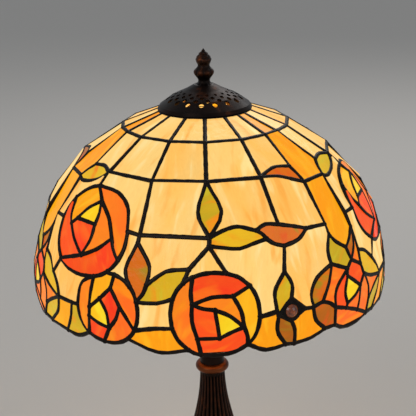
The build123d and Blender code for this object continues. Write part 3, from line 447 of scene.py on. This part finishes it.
# Lead seams: first and last junction, then the places a curved seam bends through.
# A plus or minus after a junction means the same one a pattern further on or back.
seams = [
    # crown
    ("K1", "K2"), ("K2", "K3"), ("K3", "K4"), ("K4", "K5"), ("K5", "K6"), ("K6", "K1+"), ("J1", "J2"),
    ("J2", "J3"), ("J3", "J4"), ("J4", "J5"), ("J5", "J6"), ("J6", "J1+"), ("K1", "J1"), ("K2", "J2"),
    ("K3", "J3"), ("K4", "J4"), ("K5", "J5"), ("K6", "J6"), ("J1", "S1", (-62.6, 158)), ("J2", "H2"),
    ("J3", "H3"), ("J4", "H4"), ("J5", "H5"), ("J6", "S3", (41.2, 160)), ("H2", "H3"), ("H3", "H4"),
    ("H4", "H5"),
    # stripe
    ("S1", "S2", (-63.4, 133.5)), ("S4", "S2+"), ("S2", "S5"), ("S5", "T2-"), ("S3", "S4", (41.5, 134)),
    ("S4", "S6"), ("S6", "T0"), ("T0", "T1", (44.6, 72)), ("T1", "T2", (51.4, 70)), ("T2", "T5"),
    ("T5", "E1"), ("E1", "E9"),
    # crown leaves
    ("S1", "H2", (-54, 141.6)), ("S2", "H2", (-62, 122.9), (-54.8, 126.3), (-49.8, 131.8)),
    ("H5", "S3", (27.7, 141.6), (33.4, 144.6)), ("H5", "S4", (30.5, 136), (36.3, 131.6)), ("H2", "A0"),
    ("S5", "A2"), ("A6", "L3"), ("L3", "G0"), ("H3", "L3"), ("L3", "L4"), ("H4", "G0", (-3.6, 112)),
    ("H4", "G0", (4.9, 112)), ("H5", "G5"), ("G7", "S6"), ("G0", "N2"),
    # rose A
    ("A0", "A7"), ("A7", "A12", (-37, 100.5)), ("A12", "A5", (-31.9, 78)), ("A1", "A8", (-55.8, 95)),
    ("A8", "A9"), ("A9", "A7", (-47.9, 104.3)), ("A9", "A10"), ("A7", "A10", (-41.7, 103)),
    ("A10", "A11", (-42.1, 80)), ("A8", "A11", (-49.9, 77.5)), ("A3", "A11"), ("A11", "A12", (-38.6, 74.6)),
    # rose B
    ("B0", "B3"), ("B3", "B4"), ("B4", "B5", (-25, 25)), ("M1", "B6", (-38.3, 41)), ("B6", "B7"),
    ("B7", "B8"), ("B6", "B9"), ("B9", "B3"), ("B9", "B10", (-32.1, 27.2)), ("B7", "B10", (-35, 17)),
    ("B4", "B10", (-28.7, 24)), ("B10", "B11"),
    # rose C
    ("C0", "C1", (-5.6, 50)), ("C1", "C2", (-5.4, 27)), ("C2", "C3"), ("C1", "C5", (0.5, 45.8)),
    ("C5", "C4"), ("C5", "C7", (8.7, 34)), ("C7", "C6", (10.4, 13)), ("C1", "C8", (-2.2, 37.4)),
    ("C8", "C7", (5.6, 30.5)), ("C8", "C9", (1.8, 25)), ("C2", "C9"), ("C9", "C7", (5.8, 17.7)),
    # leaves
    ("L4", "X1", (-26.4, 64)), ("L4", "X3", (-18.5, 68)), ("X3", "D1", (-13.4, 65)),
    ("X3", "Y1", (-20.1, 46.5)), ("Y1", "Y2", (-15.8, 40.4)), ("D1", "D2"), ("N2", "D1"), ("N2", "C16"),
    ("B5", "C13", (-16, 20.2)), ("G0", "G1", (4.4, 96), (9.8, 98.8)),
    ("N2", "G2", (4.6, 83), (9.8, 81.5), (14.6, 84.6)), ("G1", "G2", (17.5, 91)), ("G1", "G5", (19.6, 98)),
    ("G5", "G7", (28.9, 93.2)), ("G2", "G6", (21.2, 82)), ("G6", "G7", (30, 81.9)), ("G6", "I0"),
    ("I0", "I1", (19.3, 46)), ("I0", "W0", (25, 49)), ("I1", "C10"), ("I1", "W3"), ("W0", "W1"),
    ("W1", "W2"), ("W2", "W3"), ("W3", "W0"), ("W3", "V1", (19.5, 13.5)), ("W2", "V2", (25, 12)),
    ("W1", "Q4"), ("Q4", "V3", (32.3, 16)), ("Q4", "Q0"), ("Q0", "E6", (38, 26)),
    ("Q4", "Q1", (31.1, 38), (34.2, 49)), ("Q0", "Q1", (38.4, 43)), ("Q1", "T3"),
    ("T3", "E6", (42, 38), (40.2, 30)), ("T0", "Q1", (40.3, 67)), ("T1", "E0"), ("E0", "T3"),
    ("T2", "E0", (53.1, 63)),
    # rose E
    ("E0", "E1"), ("E9", "E4"), ("T3", "E3"), ("E3", "E4", (50, 35)), ("E3", "E5", (44.8, 30)),
    ("E4", "E5", (49.7, 23.8)), ("E5", "E5b"), ("E6", "E5b"), ("E5b", "E7"), ("E7", "E8"),
    ("E4", "E7", (51.9, 18.5)), ("E9", "E13", (57.8, 25)), ("E13", "E8"), ("E6", "Q5"),
    # lower leaves
    ("T5", "P0+", (59, 53.5)), ("P0", "N1", (-54.4, 36)), ("P0", "A3"), ("E9", "N1+", (60.2, 31.2)),
    ("N1+", "E13", (61.7, 20)), ("N1", "O1", (-54.3, 13.5)), ("N1", "O2"), ("O2", "O3", (-47.3, 13)),
    ("O2", "B13"),
    # rim
    ("B12", "C14", (-15.8, -0.4)), ("C6", "V1", (15.9, -0.4)), ("V1", "V2"), ("V2", "V3", (30.5, 1.6)),
    ("V3", "Q5"), ("Q5", "E8", (44, 0.3), (50, -1.6)), ("E8", "O1+"), ("O1", "O3"),
    ("O3", "B8", (-44.5, -0.6)),
]
for rose, clocks in outlines.items():
    names, turns = list(clocks), list(clocks.values())
    order = sorted(range(len(names)), key=lambda index: turns[index])
    for here, there in zip(order, order[1:] + order[:1]):
        if rose == "B" and {names[here], names[there]} == {"M1", "M2"}:
            continue
        span = (turns[there] - turns[here]) % 360
        bends = 2 if span > 40 else 1
        bendPlaces = [onRose(rose, turns[here] + span * (bend + 1) / (bends + 1)) for bend in range(bends)]
        seams.append((names[here], names[there], *bendPlaces))

beads = {"step": 2.6, "degreeUnits": 2.4, "width": 3.7, "lumps": 0.06, "blobRadius": 2.2,
         # across a seam: share of the half width, depth under the dome's face in millimetres
         "face": [(-1, 0.95), (-0.86, 0.52), (-0.5, 0.16), (0, 0.03), (0.5, 0.16), (0.86, 0.52), (1, 0.95)],
         "thickness": 4.5, "web": 0.72, "webDepth": 1.1, "wander": 0.05, "coarseStep": 8.0,
         "blobProfile": [(1.0, 1.0), (0.93, 0.5), (0.66, 0.14), (0.3, 0.0)], "blobSides": 10,
         "wide": {("I1", "C10"): 1.5, ("B5", "C13"): 1.2},
         "jewelPlace": (24, 28.6), "jewelSides": 32,
         # round the jewel: radius and depth in millimetres, inside bottom first
         "surround": [(5.2, 3.8), (5.2, 0.3), (6.0, 0.05), (8.6, 0.75), (8.6, 3.8), (5.2, 3.8)]}


def place(junction):
    shift = pitch if junction.endswith("+") else -pitch if junction.endswith("-") else 0
    azimuth, height = points[junction.rstrip("+-")]
    return azimuth + shift, height


def seamPath(bends, step):
    # Places along a seam: even steps on a straight one, and on a curved one a Catmull-Rom curve through its
    # bends, half of 2b + (c - a)t + (2a - 5b + 4c - d)t2 + (3b - a - 3c + d)t3.
    bends = np.array(bends, float)
    padded = np.vstack([2 * bends[0] - bends[1], bends, 2 * bends[-1] - bends[-2]])
    path = [bends[:1]]
    for a, b, c, d in zip(padded, padded[1:], padded[2:], padded[3:]):
        count = max(2, round(math.hypot((c[0] - b[0]) * beads["degreeUnits"], c[1] - b[1]) / step))
        share = np.arange(1, count + 1)[:, None] / count
        curve = 2 * b + (c - a) * share + (2 * a - 5 * b + 4 * c - d) * share ** 2
        curve = curve + (3 * b - a - 3 * c + d) * share ** 3
        path.append(curve / 2)
    return np.vstack(path)


def tracePanes(runs):
    # Walks each seam both ways and turns into the next seam clockwise; gives each run the pane on its side.
    def spot(at):
        return round(at[0] % 360 * 20) % 7200, round(at[1] * 10)

    leaving = {}
    for number, run in enumerate(runs):
        bearing = math.atan2(run[1][1] - run[0][1], (run[1][0] - run[0][0]) * beads["degreeUnits"])
        leaving.setdefault(spot(run[0]), []).append((bearing, number))
    for bearings in leaving.values():
        bearings.sort()
    paneOf, outlinesFound = {}, []
    for start in range(len(runs)):
        walk, number, travelled = [], start, 0
        while number not in paneOf:
            paneOf[number] = len(outlinesFound)
            walk.append(number)
            travelled += runs[number][-1][0] - runs[number][0][0]
            numbers = [other for bearing, other in leaving[spot(runs[number][-1])]]
            number = numbers[numbers.index(number ^ 1) - 1]
        if walk:
            outlinesFound.append(walk if abs(travelled) < 180 else None)
    return paneOf, outlinesFound, spot


def seamFrames():
    # For each seam its points, the way out of the glass at them, its width and its two junctions. A seam's
    # line is the mean of its places dropped onto the flat panes on its two sides, and its ends go to the
    # mean of all seams that meet there.
    runs, coarse, widths = [], [], []
    for first, last, *bends in seams:
        width = beads["wide"].get((first, last), 1.0)
        for turn in range(repeats):
            stops = (place(first), *bends, place(last))
            bent = [(azimuth + pitch * turn, height) for azimuth, height in stops]
            path = seamPath(bent, beads["step"]) if bends else np.array(bent)
            runs += [path, path[::-1]]
            rough = seamPath(bent, beads["coarseStep"]) if bends else path
            coarse += [rough, rough[::-1]]
            widths.append(width)
    paneOf, walks, spot = tracePanes(runs)
    planes = {}
    for pane, walk in enumerate(walks):
        if walk is not None:
            corners = np.vstack([onDome(coarse[number])[:-1] for number in walk])
            centre = corners.mean(0)
            normal = np.cross(corners - centre, np.roll(corners, -1, 0) - centre).sum(0)
            planes[pane] = centre, normal / np.linalg.norm(normal)
    frames, ends = [], {}
    for seam, width in enumerate(widths):
        line = onDome(runs[2 * seam])
        if len(line) == 2:
            count = max(2, round(np.linalg.norm(line[1] - line[0]) / mm / beads["step"]))
            line = line[0] + (line[1] - line[0]) * np.linspace(0, 1, count + 1)[:, None]
        sides = [planes[paneOf[number]] for number in (2 * seam, 2 * seam + 1) if paneOf[number] in planes]
        flat = [line - ((line - centre) @ normal)[:, None] * normal for centre, normal in sides]
        dropped = np.mean(flat, 0)
        outward = np.sum([normal for centre, normal in sides], 0)
        outward = np.tile(outward / np.linalg.norm(outward), (len(line), 1))
        keys = spot(runs[2 * seam][0]), spot(runs[2 * seam][-1])
        for key, at in zip(keys, (0, -1)):
            ends.setdefault(key, []).append((dropped[at], outward[at]))
        frames.append([dropped, outward, width, keys])
    ends = {key: np.mean(found, 0) for key, found in ends.items()}
    for frameOf in frames:
        line, outward, width, keys = frameOf
        (startAt, startOut), (endAt, endOut) = ends[keys[0]], ends[keys[1]]
        share = np.linspace(0, 1, len(line))[:, None]
        frameOf[0] = line + (1 - share) * (startAt - line[0]) + share * (endAt - line[-1])
        outward = outward + (1 - share) ** 4 * (startOut - outward[0]) + share ** 4 * (endOut - outward[-1])
        frameOf[1] = outward / np.linalg.norm(outward, axis=1, keepdims=True)
    return frames, ends


def seamRings(frames, draw):
    # Along each seam one closed profile, a half-round bead on each face of the glass joined by the lead
    # between the panes, with its width and swell wandering by sines of the way travelled.
    thickness, web, webDepth = beads["thickness"], beads["web"], beads["webDepth"]
    outer = np.array(beads["face"])
    profile = np.vstack([outer, [(web, webDepth), (web, thickness - webDepth)],
                         np.column_stack([outer[::-1, 0], thickness - outer[::-1, 1]]),
                         [(-web, thickness - webDepth), (-web, webDepth)]])
    for line, outward, width, keys in frames:
        along = np.gradient(line, axis=0)
        along /= np.linalg.norm(along, axis=1, keepdims=True)
        side = np.cross(along, outward)
        side /= np.linalg.norm(side, axis=1, keepdims=True)
        travel = np.r_[0, np.cumsum(np.linalg.norm(np.diff(line, axis=0), axis=1))] / mm
        phase = draw.uniform(0, 6.28, 4)
        swell = np.sin(travel * 0.55 + phase[0]) + 0.7 * np.sin(travel * 1.13 + phase[1])
        drop = np.sin(travel * 0.41 + phase[2]) + np.sin(travel * 0.97 + phase[3])
        half = beads["width"] / 2 * width * (1 + beads["lumps"] * swell)
        face = np.sign(thickness / 2 - profile[:, 1])
        depth = profile[:, 1] + beads["wander"] * (1 + drop[:, None] / 2) * face
        sideways = side[:, None] * (profile[:, 0] * half[:, None])[..., None]
        yield line[:, None] + (sideways - outward[:, None] * depth[..., None]) * mm


def ringAbout(middle, side, up, outward, radius, depth, sides):
    # Circles of each radius about a line out of the glass, each at its depth.
    clock = np.linspace(0, 2 * math.pi, sides, endpoint=False)
    spoke = np.cos(clock)[:, None] * side + np.sin(clock)[:, None] * up
    return middle + (radius[:, None, None] * spoke - depth[:, None, None] * outward) * mm


def makeSolder():
    # Beads along the seams with flat ends, a low dome over each end on both faces, and a ring round each
    # jewel.
    frames, ends = seamFrames()
    draw = np.random.default_rng(7)
    made, faces, start = [], [], 0
    for ring in seamRings(frames, draw):
        rows, columns = ring.shape[:2]
        made.append(ring.reshape(-1, 3))
        faces += gridFaces(rows, columns, True, start)
        faces.append(list(range(start, start + columns))[::-1])
        faces.append(list(range(start + columns * (rows - 1), start + columns * rows)))
        start += rows * columns
    lift, sides = np.array(beads["blobProfile"]), beads["blobSides"]
    for middle, outward in ends.values():
        outward = outward / np.linalg.norm(outward)
        side = np.cross((0, 0, 1), outward)
        side /= np.linalg.norm(side)
        up = np.cross(outward, side)
        radius = beads["blobRadius"] * draw.uniform(0.94, 1.1)
        share, depth = np.vstack([lift, lift[::-1] * (1, -1) + (0, beads["thickness"])]).T
        made.append(ringAbout(middle, side, up, outward, share * radius, depth, sides).reshape(-1, 3))
        faces += [face[::-1] for face in gridFaces(len(share), sides, True, start)]
        faces.append(list(range(start + sides * (len(share) - 1), start + sides * len(share)))[::-1])
        faces.append(list(range(start, start + sides)))
        start += len(share) * sides
    radius, depth = np.array(beads["surround"]).T
    azimuth, height = beads["jewelPlace"]
    for turn in range(repeats):
        near = onDome([(azimuth + pitch * turn + a, height + h) for a, h in ((0, 0), (1, 0), (0, 3))])
        side, up = near[1] - near[0], near[2] - near[0]
        outward = np.cross(side, up)
        side, up, outward = (way / np.linalg.norm(way) for way in (side, up, outward))
        up = np.cross(outward, side)
        made.append(ringAbout(near[0], side, up, outward, radius, depth, beads["jewelSides"]).reshape(-1, 3))
        faces += gridFaces(len(radius), beads["jewelSides"], True, start)
        start += len(radius) * beads["jewelSides"]
    made = np.vstack(made)
    reach = np.hypot(made[:, 0], made[:, 1])
    made[:, :2] *= np.minimum(1, dome["widest"] * mm / reach)[:, None]
    mesh = meshFrom("solder_beads", made, faces)
    closeUp(mesh)
    return addPiece("solder_beads", mesh, "shade", "solder", ["solder_lattice"], makeSolderMaterial(), 50)


def makeSolderMaterial():
    # Blackened solder: a dark skin with a little copper, and brighter lead where the beads are rubbed.
    material, wire = newMaterial("blackSolder")
    spot = objectPlace(wire)
    broad, fine = spot.noise(90, 3), spot.noise(900, 3)
    stops = [(0.35, paint(20, 17, 15)), (0.62, paint(38, 30, 25)), (0.8, paint(84, 68, 56))]
    rubbed = (broad * 0.6 + fine * 0.4).ramp(stops)
    closeMaterial(wire, {"Base Color": rubbed, "Metallic": 0.75, "Roughness": fine * 0.3 + 0.28,
                         "Normal": (broad * 0.7 + fine * 0.3).bump(0.5, 0.0004)})
    return material


bronzeTones = {"dark": (22, 15, 12), "middle": (40, 25, 18), "rubbed": (120, 64, 32)}


def makeBronze(name, scale=1.0, roughness=0.34, relief=False, paintedLighten=0.0):
    # Antique bronze: brown-black lacquer, worn through to copper in patches and, on a piece with relief,
    # along the high attribute, which is 1 on the crests; with fine casting grain. A shift above nought moves
    # all of it towards the copper tones as a painted highlight.
    material, wire = newMaterial(name)
    spot = objectPlace(wire)
    broad, patch, fine = spot.noise(28 * scale, 4), spot.noise(120 * scale, 4, 0.6), spot.noise(1400, 2)
    wearAndPaintedLight = broad * 0.55 + patch * 0.45 + paintedLighten
    colour = wearAndPaintedLight.ramp([(0.38, paint(*bronzeTones["dark"])), (0.58, paint(*bronzeTones["middle"])),
                        (0.74, paint(*bronzeTones["rubbed"]))])
    if relief:
        high = wire.node("Attribute", {"attribute_name": "high"}, {}, "Fac")
        crest = wire.node("Clamp", {}, {"Value": high * 0.45 + patch * 0.7 - 0.52})
        colour = crest.mix(colour, paint(*bronzeTones["rubbed"]))
    closeMaterial(wire, {"Base Color": colour, "Metallic": 0.85,
                         "Roughness": patch * 0.26 + fine * 0.08 + roughness - 0.12,
                         "Normal": (patch * 0.8 + fine * 0.2).bump(0.35, 0.0005)})
    return material


def makeMetal(name, dark, light, roughness):
    # Turned or drawn metal: two tones clouded together and hair lines round it.
    material, wire = newMaterial(name)
    spot = objectPlace(wire)
    cloud, hair = spot.noise(60, 3), spot.stretched(1, 1, 14).noise(600, 2)
    colour = (cloud * 0.7 + hair * 0.3).ramp([(0.3, paint(*dark)), (0.7, paint(*light))])
    closeMaterial(wire, {"Base Color": colour, "Metallic": 1.0, "Roughness": hair * 0.2 + roughness - 0.1,
                         "Normal": hair.bump(0.15, 0.0002)})
    return material


def makePlain(name, dark, light, roughness, scale, depth):
    # Moulded, pressed or woven stuff: mottled colour and a grain of its own depth.
    material, wire = newMaterial(name)
    spot = objectPlace(wire)
    mottle, grain = spot.noise(scale * 0.2, 4), spot.noise(scale, 4, 0.7)
    colour = (mottle * 0.5 + grain * 0.5).ramp([(0.35, paint(*dark)), (0.65, paint(*light))])
    closeMaterial(wire, {"Base Color": colour, "Roughness": grain * 0.2 + roughness - 0.1,
                         "Normal": grain.bump(0.6, depth)})
    return material


def makeBulbGlass():
    # Frosted lit bulb, brightest round the middle of its globe.
    material, wire = newMaterial("litBulb")
    height = objectPlace(wire).node("SeparateXYZ", {}, {"Vector": objectPlace(wire)}, "Z")
    low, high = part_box("bulb_glass")
    share = (height - low.z) / (high.z - low.z)
    hot = 1 - ((share - 0.6) * 1.5) ** 2
    colour = hot.mix(paint(255, 196, 120), paint(255, 236, 196))
    frost = objectPlace(wire).noise(1800, 2)
    closeMaterial(wire, {"Base Color": frost.ramp([(0.3, paint(236, 230, 220)), (0.7, paint(250, 246, 238))]),
                         "Roughness": frost * 0.2 + 0.35, "Normal": frost.bump(0.2, 0.0001),
                         "Emission Color": colour, "Emission Strength": 14.0})
    return material


def makeJewel():
    # Dark amber cabochon, clouded inside, with a faint painted glow that stands in for light from behind.
    material, wire = newMaterial("jewelGlass")
    spot = objectPlace(wire)
    cloud, seeds = spot.noise(260, 3), spot.noise(1200, 2)
    colour = cloud.ramp([(0.3, paint(58, 26, 12)), (0.55, paint(116, 54, 20)), (0.75, paint(170, 96, 36))])
    closeMaterial(wire, {"Base Color": colour, "Roughness": seeds * 0.1 + 0.04, "IOR": 1.55,
                         "Coat Weight": 0.6, "Normal": cloud.bump(0.2, 0.0006),
                         "Emission Color": colour, "Emission Strength": 0.45})
    mesh = mergedCopy("jewel_cabochons")
    return addPiece("jewel_glass", mesh, "shade", "jewel_glass", ["jewel_cabochons"], material, 35)


def turnedSurface(name, curve, rows, columns, relief, centreHeight=0.0):
    # Surface of revolution with relief: (radius, height) along the curve, moved along its own outward normal
    # by relief(share, clock), which gives the move in millimetres and the height of the crests from 0 to 1.
    share = np.linspace(0, 1, rows)[:, None]
    clock = np.linspace(0, 2 * math.pi, columns, endpoint=False)[None]
    profile = curve(share[:, 0])
    along = np.gradient(profile, axis=0)
    along /= np.linalg.norm(along, axis=1, keepdims=True)
    moved, high = relief(share, clock)
    radius = np.maximum(profile[:, :1] + moved * along[:, 1:], 0)
    height = profile[:, 1:] - moved * along[:, :1] + centreHeight
    points = np.stack([radius * np.sin(clock), -radius * np.cos(clock), height + 0 * clock], -1)
    points = points.reshape(-1, 3) * mm
    faces = gridFaces(rows, columns, True)
    for ring, flip in ((0, True), (rows - 1, False)):
        loop = list(range(ring * columns, (ring + 1) * columns))
        faces.append(loop[::-1] if flip else loop)
    mesh = meshFrom(name, points, faces)
    setAttribute(mesh, "high", "FLOAT", "value", high + 0 * clock)
    closeUp(mesh, 0.001 * mm)
    return mesh


# Profiles are (share of the radius, share of the height), bottom first.
finial = {"radius": 8.8, "height": 30.0, "lobes": 8, "lobeDepth": 0.5, "scaleRows": 5, "scales": 7,
          "scaleDepth": 0.65, "notches": 10, "notchDepth": 0.3, "waist": 0.57, "ball": 0.33,
          "profile": [(0.85, 0), (0.61, 0.15), (0.99, 0.355), (0.57, 0.525), (0.74, 0.65), (0.48, 0.84),
                      (0.02, 1)]}


def finialRelief(share, clock):
    # Bud: rows of overlapping scales, each swelling to its lower edge, every other row half a scale round.
    # Ball: upright lobes between grooves. Both fade out at the necks, and the foot is notched.
    bud = np.clip((share - finial["waist"]) * 9, 0, 1) * np.clip((1 - share) * 12, 0, 1)
    level = (share - finial["waist"]) / (1 - finial["waist"]) * finial["scaleRows"]
    within = level % 1
    across = (clock / (2 * math.pi) * finial["scales"] + 0.5 * np.floor(level)) % 1
    scale = np.maximum(0, 1 - (2 * np.abs(across - 0.5)) ** 2) * (1 - within) ** 0.7
    ball = np.exp(-((share - finial["ball"]) / 0.13) ** 2)
    lobe = np.abs(np.sin(clock * finial["lobes"] / 2)) ** 0.6
    foot = np.exp(-(share / 0.07) ** 2)
    shift = bud * (scale - 0.75) * finial["scaleDepth"] + ball * (lobe - 1) * finial["lobeDepth"]
    shift = shift + foot * (np.abs(np.sin(clock * finial["notches"] / 2)) - 1) * finial["notchDepth"]
    return shift, np.clip(bud * scale + ball * lobe, 0, 1)


stem = {"bottom": 92.0, "top": 178.5, "lowRadius": 24.0, "highRadius": 11.2, "flutes": 24, "depth": 0.136,
        "profile": [(1, 0), (0.56, 0.43), (0.22, 0.66), (0.07, 0.82), (0, 1)]}


def stemRelief(share, clock):
    # Round-bottomed flutes, as deep as a share of the radius, that run out in rounded ends under the collar
    # and over the foot.
    wave = np.abs(np.sin(clock * stem["flutes"] / 2))
    groove = 1 - wave ** 0.7
    fade = np.clip((share - 0.015) * 30, 0, 1) * np.clip((0.985 - share) * 30, 0, 1)
    radius = stem["highRadius"] + (stem["lowRadius"] - stem["highRadius"]) * (1 - share) ** 1.6
    return -groove * fade * radius * stem["depth"], wave ** 3 * fade


foot = {"radius": 82.0, "neck": 24.0, "bottom": 1.5, "edge": 11.0, "top": 92.0, "petals": 12, "depth": 1.7,
        "edgeShare": 0.1, "edgeRound": 1.5,
        "profile": [(1, 0), (0.93, 0.055), (0.72, 0.115), (0.48, 0.2), (0.275, 0.335), (0.12, 0.56), (0, 1)]}


def footRelief(share, clock):
    # Long petals that widen from the neck to the edge, each ribbed down its middle, with a turned step
    # inside the rim and a line of wear at the neck.
    lean = clock * foot["petals"] / 2
    petal = np.abs(np.cos(lean)) ** 0.45
    rib = np.exp(-(np.sin(lean) / 0.12) ** 2)
    span = np.clip((share - 0.2) * 7, 0, 1) * np.clip((0.97 - share) * 12, 0, 1)
    step = np.exp(-((share - 0.145) / 0.018) ** 2) * 0.9
    bead = np.exp(-((share - 0.975) / 0.012) ** 2) * (0.6 + 0.4 * np.cos(clock * 36))
    shift = span * ((petal - 1) * foot["depth"] + rib * 0.5 - 0.5) - step
    return shift, np.clip(span * (petal ** 4 * 0.6 + rib * 0.5) + bead * 0.5, 0, 1)


def makeBronzes():
    paintedLighten = makeBronze("wornBronze", 1.4, 0.34, True)
    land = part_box("finial")[0].z / mm
    curve = splineThrough(np.array(finial["profile"]) * (finial["radius"], finial["height"]))
    mesh = turnedSurface("cone_finial", curve, 150, 112, finialRelief, land)
    addPiece("cone_finial", mesh, "finial_turn", "bronze", ["finial"], paintedLighten, 60)
    spread, rise = stem["lowRadius"] - stem["highRadius"], stem["top"] - stem["bottom"]
    curve = splineThrough(np.array(stem["profile"]) * (spread, rise) + (stem["highRadius"], stem["bottom"]))
    mesh = turnedSurface("fluted_column", curve, 70, stem["flutes"] * 14, stemRelief)
    addPiece("fluted_column", mesh, "base", "bronze", ["fluted_stem"], paintedLighten, 60)
    spread, rise = foot["radius"] - foot["neck"], foot["top"] - foot["edge"]
    curve = splineThrough(np.array(foot["profile"]) * (spread, rise) + (foot["neck"], foot["edge"]))
    edgeShare, edgeRound = foot["edgeShare"], foot["edgeRound"]

    def withEdge(share):
        # An upright edge rounded by a sixth power for the first tenth, then the trumpet line, which starts
        # inside it by the same round and meets its own line at once.
        rising = np.clip(share / edgeShare, 0, 1)
        turned = np.clip((share - edgeShare) / (1 - edgeShare), 0, 1)
        level = foot["bottom"] + rising * (foot["edge"] - foot["bottom"])
        edge = np.stack([foot["radius"] - edgeRound * (2 * rising - 1) ** 6, level], 1)
        trumpet = curve(turned) - (edgeRound, 0) * np.exp(-turned / 0.02)[:, None]
        return np.where(share[:, None] < edgeShare, edge, trumpet)

    mesh = turnedSurface("petal_foot", withEdge, 130, 288, footRelief)
    addPiece("petal_foot", mesh, "base", "bronze", ["foot"], paintedLighten, 50)
    print("bronzes done")


paneNodes = {
    "cream_crown_panes": "cream", "cream_ground_panes": "cream", "amber_stripe_panes": "amber",
    "amber_border_panes": "amber", "orange_petal_panes": "orange", "red_petal_panes": "red",
    "gold_petal_panes": "gold", "yellow_heart_panes": "yellow", "green_leaf_panes": "green",
    "russet_leaf_panes": "russet",
}


def makeShade():
    glass = {kind: makeGlassMaterial(kind + "ArtGlass", glassKinds[kind]) for kind in glassKinds}
    for node, kind in paneNodes.items():
        makePanes(node.replace("_panes", "_glass"), node, kind, glass[kind])
    makeJewel()
    makeSolder()
    print("shade done")


def dressNodes():
    # Better materials on the CAD nodes that keep their shape.
    bronze = makeBronze("antiqueBronze")
    brass = makeMetal("agedBrass", (104, 76, 38), (176, 138, 74), 0.3)
    steel = makeMetal("platedSteel", (120, 118, 112), (176, 174, 168), 0.34)
    nickel = makeMetal("nickelPlate", (150, 146, 138), (204, 200, 190), 0.25)
    iron = makePlain("castIron", (38, 36, 34), (66, 62, 58), 0.7, 700, 0.0005)
    felt = makePlain("greenFelt", (22, 34, 26), (44, 60, 46), 0.95, 1600, 0.0008)
    card = makePlain("liningCard", (52, 42, 30), (82, 68, 50), 0.85, 900, 0.0002)
    phenolic = makePlain("brownPhenolic", (34, 22, 16), (56, 38, 28), 0.45, 500, 0.0001)
    plastic = makePlain("blackPlastic", (16, 15, 15), (30, 29, 28), 0.42, 1200, 0.0001)
    dress = {
        bronze: ["vented_cap", "neck_cup", "swivel_stud", "crown_ring"],
        # The neck ring: a lighter copy of the bronze, a painted highlight standing in for light on the ring.
        makeBronze("paintedHighlightBronze", 1.0, 0.3, False, 0.24): ["neck_ring"],
        brass: ["harp_saddle", "harp_wire", "harp_ferrule_right", "harp_ferrule_left", "socket_cap",
                "socket_shell", "centre_contact", "switch_shaft"],
        steel: ["rod_washer", "rod_nut", "lamp_rod"],
        nickel: ["bulb_base", "screw_shell"],
        iron: ["ballast_plate"], felt: ["felt_pad"], card: ["socket_liner"], phenolic: ["switch_body"],
        plastic: ["switch_knob", "cord_bushing"],
        makeBulbGlass(): ["bulb_glass"],
    }
    for material, nodes in dress.items():
        for node in nodes:
            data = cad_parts[node].data
            data.materials.clear()
            data.materials.append(material)
    print("cad nodes dressed")


def makeStudio():
    size = studio["floorSize"]
    corners = np.array([(-size, -size, 0), (size, -size, 0), (size, size, 0), (-size, size, 0)])
    corners = corners - (0, 0, studio["floorDrop"])
    floor = bpy.data.objects.new("floor", meshFrom("floor", corners, [[0, 1, 2, 3]]))
    scene.collection.objects.link(floor)
    material, wire = newMaterial("paleFloor")
    closeMaterial(wire, {"Base Color": paint(214, 210, 204), "Roughness": 0.75})
    floor.data.materials.append(material)
    for number, (at, width, watts, colour) in enumerate(studio["panels"]):
        light = bpy.data.lights.new(f"panel{number}", "AREA")
        light.energy, light.size, light.color = watts, width, colour
        lamp = bpy.data.objects.new(f"panel{number}", light)
        turn = (Vector(studio["aim"]) - Vector(at)).to_track_quat("-Z", "Y").to_matrix().to_4x4()
        lamp.matrix_world = Matrix.Translation(at) @ turn
        scene.collection.objects.link(lamp)
    world = bpy.data.worlds.new("studioAir")
    scene.world = world
    world.use_nodes = True
    background = world.node_tree.nodes["Background"]
    background.inputs["Color"].default_value = (0.86, 0.9, 0.95, 1)
    background.inputs["Strength"].default_value = studio["ambient"]


makeCamera()
makeStudio()
makeShade()
makeBronzes()
dressNodes()
